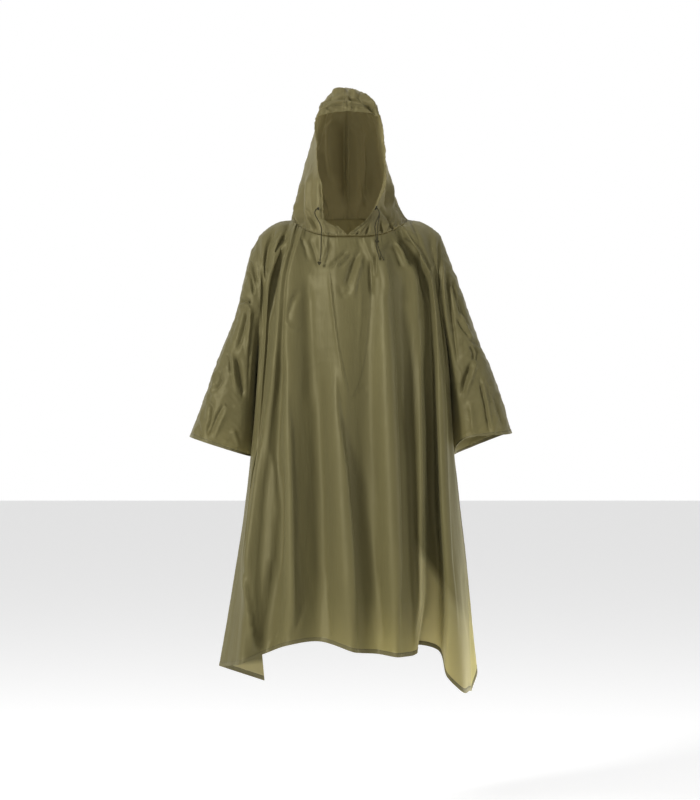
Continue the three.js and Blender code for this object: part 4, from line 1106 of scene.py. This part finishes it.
# Stitches, as short threads that lie along a line on the cloth
def stitch_object(name, lines, length=3.4, gap=1.5, wide=0.55):
    vertices, faces = [], []
    first = 0
    for points, normals in lines:
        lengths = arc_lengths(points, 0)
        starts = np.arange(0.5, lengths[-1] - length, length + gap)
        a, b = read_line(starts, lengths, points), read_line(starts + length, lengths, points)
        n = unit(read_line(starts + length / 2, lengths, normals))
        across = unit(np.cross(n, unit(b - a)))
        for end in (a, b):
            for su, sv in ((-1, -0.25), (1, -0.25), (0.6, 0.55), (-0.6, 0.55)):
                vertices.append(end + across * su * wide / 2 + n * sv * wide)
        count = len(starts)
        k = first + np.arange(count)
        corner = [k + i * count for i in range(8)]
        for quad in ((0, 1, 2, 3), (7, 6, 5, 4), (0, 4, 5, 1), (1, 5, 6, 2), (2, 6, 7, 3), (3, 7, 4, 0)):
            faces.append(np.stack([corner[q] for q in quad], 1))
        first += 8 * count
    mesh = add_mesh(name, np.concatenate(vertices), np.concatenate(faces).tolist(), [thread], False)
    obj = add_object(name, mesh)
    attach(obj, "root")
    return obj


hem_line = -HEM_CELLS
front_stitches = stitch_object("front_stitches", [
    (front_grid[hem_line, 2:-2], front_normals[hem_line, 2:-2]),
])
back_stitches = stitch_object("back_stitches", [
    (back_grid[hem_line, 2:-2], back_normals[hem_line, 2:-2]),
])
left_stitches = stitch_object("sleeve_l_stitches", [
    (left_grid[hem_line], left_normals[hem_line]), (left_grid[3, 4:-4], left_normals[3, 4:-4]),
])
right_stitches = stitch_object("sleeve_r_stitches", [
    (right_grid[hem_line], right_normals[hem_line]), (right_grid[3, 4:-4], right_normals[3, 4:-4]),
])
flap_stitches = stitch_object("flap_stitches", [
    (flap_outer[1:-2, 2], flap_normals[1:-2, 2]), (flap_outer[1:-2, -3], flap_normals[1:-2, -3]),
], 3.0, 1.4, 0.5)


def hood_stitches(name, grid, normals, side):
    """Stitches along the casing and along the middle seam."""
    from_face = arc_lengths(grid[60, ::side], 0)
    column = int(np.searchsorted(from_face, CASING))
    column = column if side > 0 else HOOD_COLUMNS - column
    return stitch_object(name, [
        (grid[4:-3, column], normals[4:-3, column]),
        (grid[3, 3:-3], normals[3, 3:-3]),
    ])


hood_l_stitches = hood_stitches("hood_l_stitches", hood_l_grid, hood_l_normals, -1)
hood_r_stitches = hood_stitches("hood_r_stitches", hood_r_grid, hood_r_normals, 1)


# Eyelets and drawcord
CORD_RADIUS = 1.3
LEFT_EYELET = dict(side=-1, along=0.065, up=0.2135, radius=2.8, clear=0.6)
RIGHT_EYELET = dict(side=1, along=0.065, up=0.2045, radius=4.6, clear=1.9)
EYELET_WIRE = 1.1
LEFT_CORD = [(-68, -123, 4), (-68, -126, -30), (-68.5, -128, -60), (-70.5, -130, -76)]
RIGHT_CORD_A = [(59, -123, 8), (61.5, -126, -24), (61.6, -128, -36), (64, -130, -52), (70, -133, -74)]
RIGHT_CORD_B = [(65.5, -123, 8), (64.5, -126, -24), (64.6, -128, -36), (69.5, -130, -52), (79, -133, -75)]


def tube_object(name, points, radius, closed=False, sides=12, material=None):
    """A round tube along points."""
    points = np.asarray(points, float)
    if closed:
        tangents = unit(np.roll(points, -1, 0) - np.roll(points, 1, 0))
    else:
        tangents = unit(np.gradient(points, axis=0))
    side = np.cross(tangents[0], [0.3, 1.0, 0.2])
    frames = []
    for t in tangents:
        side = unit(side - np.dot(side, t) * t)
        frames.append((side, np.cross(t, side)))
    turn = 2 * np.pi * np.arange(sides) / sides
    rings = [
        p + radius * (np.cos(turn)[:, None] * a + np.sin(turn)[:, None] * b)
        for p, (a, b) in zip(points, frames)
    ]
    count = len(points)
    faces = []
    for i in range(count if closed else count - 1):
        j = (i + 1) % count
        for k in range(sides):
            m = (k + 1) % sides
            faces.append((i * sides + k, i * sides + m, j * sides + m, j * sides + k))
    if not closed:
        faces.append(tuple(range(sides))[::-1])
        faces.append(tuple((count - 1) * sides + k for k in range(sides)))
    obj = add_object(name, add_mesh(name, np.concatenate(rings), faces, [material or cord_look]))
    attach(obj, "root")
    return obj


def eyelet(name, node, place):
    """A flanged ring on the hood, and where its cord comes out."""
    side, along, up = place["side"], place["along"], place["up"]
    step = 0.06

    def at(a, b):
        return hood_points(side, np.array([along + a]), np.array([up + b]))[0]

    point = at(0, 0)
    normal = unit(side * np.cross(at(step, 0) - at(-step, 0), at(0, step) - at(0, -step)))
    across = unit(np.cross([0, 0, 1], normal))
    upward = np.cross(normal, across)
    turn = 2 * np.pi * np.arange(36) / 36
    centre = point + normal * (EYELET_WIRE + 0.3 + place["clear"])
    ring = centre + place["radius"] * (np.cos(turn)[:, None] * across + np.sin(turn)[:, None] * upward)
    obj = tube_object(name, ring, EYELET_WIRE, True, 10, metal)
    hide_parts(node)
    return point, normal, across, place["clear"]


def cord_route(exit_, aside, points):
    """The cord's line: out of the eyelet, bending over, then down through the points."""
    point, normal, across, clear = exit_
    route = [
        point + normal * out + across * aside + np.array([0, 0, down])
        for out, down in ((clear + 0.4, 0), (5, 0), (9.5, -3), (12, -10))
    ]
    return smooth_curve([*route, *points], 12)


def knot_object(name, node, centre, radius, wire, tilt):
    """A simple knot, drawn tight and tilted about X."""
    t = 2 * np.pi * np.arange(64) / 64
    x, y = np.sin(t) + 2 * np.sin(2 * t), np.cos(t) - 2 * np.cos(2 * t)
    x, y, z = (v * radius / 3 for v in (x, y, -np.sin(3 * t) * 1.3))
    c, s = math.cos(tilt), math.sin(tilt)
    turned = np.stack([x, y * c - z * s, y * s + z * c], 1)
    obj = tube_object(name, turned + centre, wire, True, 10)
    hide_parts(node)
    return obj


left_exit = eyelet("eyelet_l", "eyelet_left", LEFT_EYELET)
right_exit = eyelet("eyelet_r", "eyelet_right", RIGHT_EYELET)
knot_l = knot_object("knot_l", "knot_left", np.array([-72, -130.5, -81.3]), 3.6, 1.2, math.pi / 2)
knot_r = knot_object("knot_r", "knot_right", np.array([63.1, -127.1, -30]), 4.4, 1.3, 0)


def cord(name, node, exit_, aside, points):
    path = cord_route(exit_, aside, points)
    obj = tube_object(name, path, CORD_RADIUS)
    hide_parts(node)
    return obj


cord("cord_l", "cord_left", left_exit, 0, LEFT_CORD)
cord("cord_r_a", "cord_right_a", right_exit, -1.8, RIGHT_CORD_A)
cord("cord_r_b", "cord_right_b", right_exit, 1.8, RIGHT_CORD_B)


# Each piece in place of the model's part, and its cut
def quad_area(grid):
    a, b, c, d = grid[:-1, :-1], grid[1:, :-1], grid[1:, 1:], grid[:-1, 1:]
    return (
        np.linalg.norm(np.cross(b - a, c - a), axis=-1).sum()
        + np.linalg.norm(np.cross(c - a, d - a), axis=-1).sum()
    ) / 2 * MM * MM


def declare(obj, node, grid, closed=False):
    """Puts a cloth piece under the root, hides the model's part it stands for, and says how big it is flat,
    as measured along its shell.
    """
    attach(obj, "root")
    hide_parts(node)
    around = np.concatenate([grid, grid[:, :1]], 1) if closed else grid
    width = float(arc_lengths(around, 1)[:, -1].max()) * MM
    length = float(arc_lengths(around, 0)[-1].max()) * MM
    area = min(float(quad_area(around)), width * length)
    return round(width, 3), round(length, 3), round(area, 3)


cuts = {
    "front_panel": declare(front, "front_panel", front_grid),
    "back_panel": declare(back, "back_panel", back_grid),
    "sleeve_left": declare(sleeve_left, "sleeve_left", left_grid, True),
    "sleeve_right": declare(sleeve_right, "sleeve_right", right_grid, True),
    "hood_left": declare(hood_left, "hood_left", hood_l_grid),
    "hood_right": declare(hood_right, "hood_right", hood_r_grid),
    "front_flap": declare(flap, "front_flap", flap_outer),
}
print("cuts, metres and square metres:", cuts)

# Stage
bpy.ops.mesh.primitive_plane_add(size=40, location=(0, 0, -1.45))
floor = bpy.context.object
floor.name = "floor"
floor.data.materials.append(plain_material("floor", (0.7, 0.7, 0.7), 0.9, 0.0, 0.42))

# A studio with a bright wall behind and a darker room in front
world = bpy.data.worlds.new("studio")
bpy.context.scene.world = world
world.use_nodes = True
add_sky = node_adder(world.node_tree)
toward = add_sky("SeparateXYZ", {0: add_sky("TexCoord", {}).outputs["Generated"]}).outputs["Y"]
level = add_sky("MapRange", {
    "Value": toward, "From Min": -0.1, "From Max": 0.6, "To Min": 0.14, "To Max": 1.0,
})
background = world.node_tree.nodes["Background"]
background.inputs["Color"].default_value = (1, 1, 1, 1)
world.node_tree.links.new(level.outputs[0], background.inputs["Strength"])


# In metres: name, place, what it's aimed at, size and power. The low one is light that the
# studio floor throws back up
LIGHTS = [
    ("key", (-3.4, -3.6, 1.5), (0, 0, -0.4), (0.9, 1.3), 300),
    ("fill", (0.9, -4.6, 0.2), (0, 0, -0.5), (1.8, 2.4), 22),
    ("rim", (4.2, -1.3, 0.5), (0, 0, -0.4), (1.0, 2.0), 62),
    ("top", (0, -0.8, 2.6), (0, 0, 0), (3.0, 3.0), 40),
    ("low", (0.36, 0.1, -1.43), (0.22, 0, 0), (0.6, 0.8), 18),
]


def area_light(name, location, aim, size, power):
    light = bpy.data.lights.new(name, "AREA")
    light.shape = "RECTANGLE"
    light.size, light.size_y = size
    light.energy = power
    obj = bpy.data.objects.new(name, light)
    obj.location = location
    direction = np.array(aim, float) - np.array(location, float)
    yaw = math.atan2(direction[0], direction[1])
    pitch = math.atan2(direction[2], math.hypot(direction[0], direction[1]))
    obj.rotation_euler = (math.pi / 2 + pitch, 0, -yaw)
    bpy.context.scene.collection.objects.link(obj)


for light in LIGHTS:
    area_light(*light)

SENSOR = 36
PHOTO_HEIGHT = 800
camera_data = bpy.data.cameras.new("camera")
camera_data.sensor_width = SENSOR
camera_data.lens = SENSOR * -CAMERA_Y / (PHOTO_HEIGHT * PIXEL)
camera_data.clip_end = 60
camera = bpy.data.objects.new("camera", camera_data)
camera.location = (0, CAMERA_Y * MM, CAMERA_Z * MM)
camera.rotation_euler = (math.pi / 2, 0, 0)
bpy.context.scene.collection.objects.link(camera)
bpy.context.scene.camera = camera
bpy.context.scene.view_settings.view_transform = "Standard"
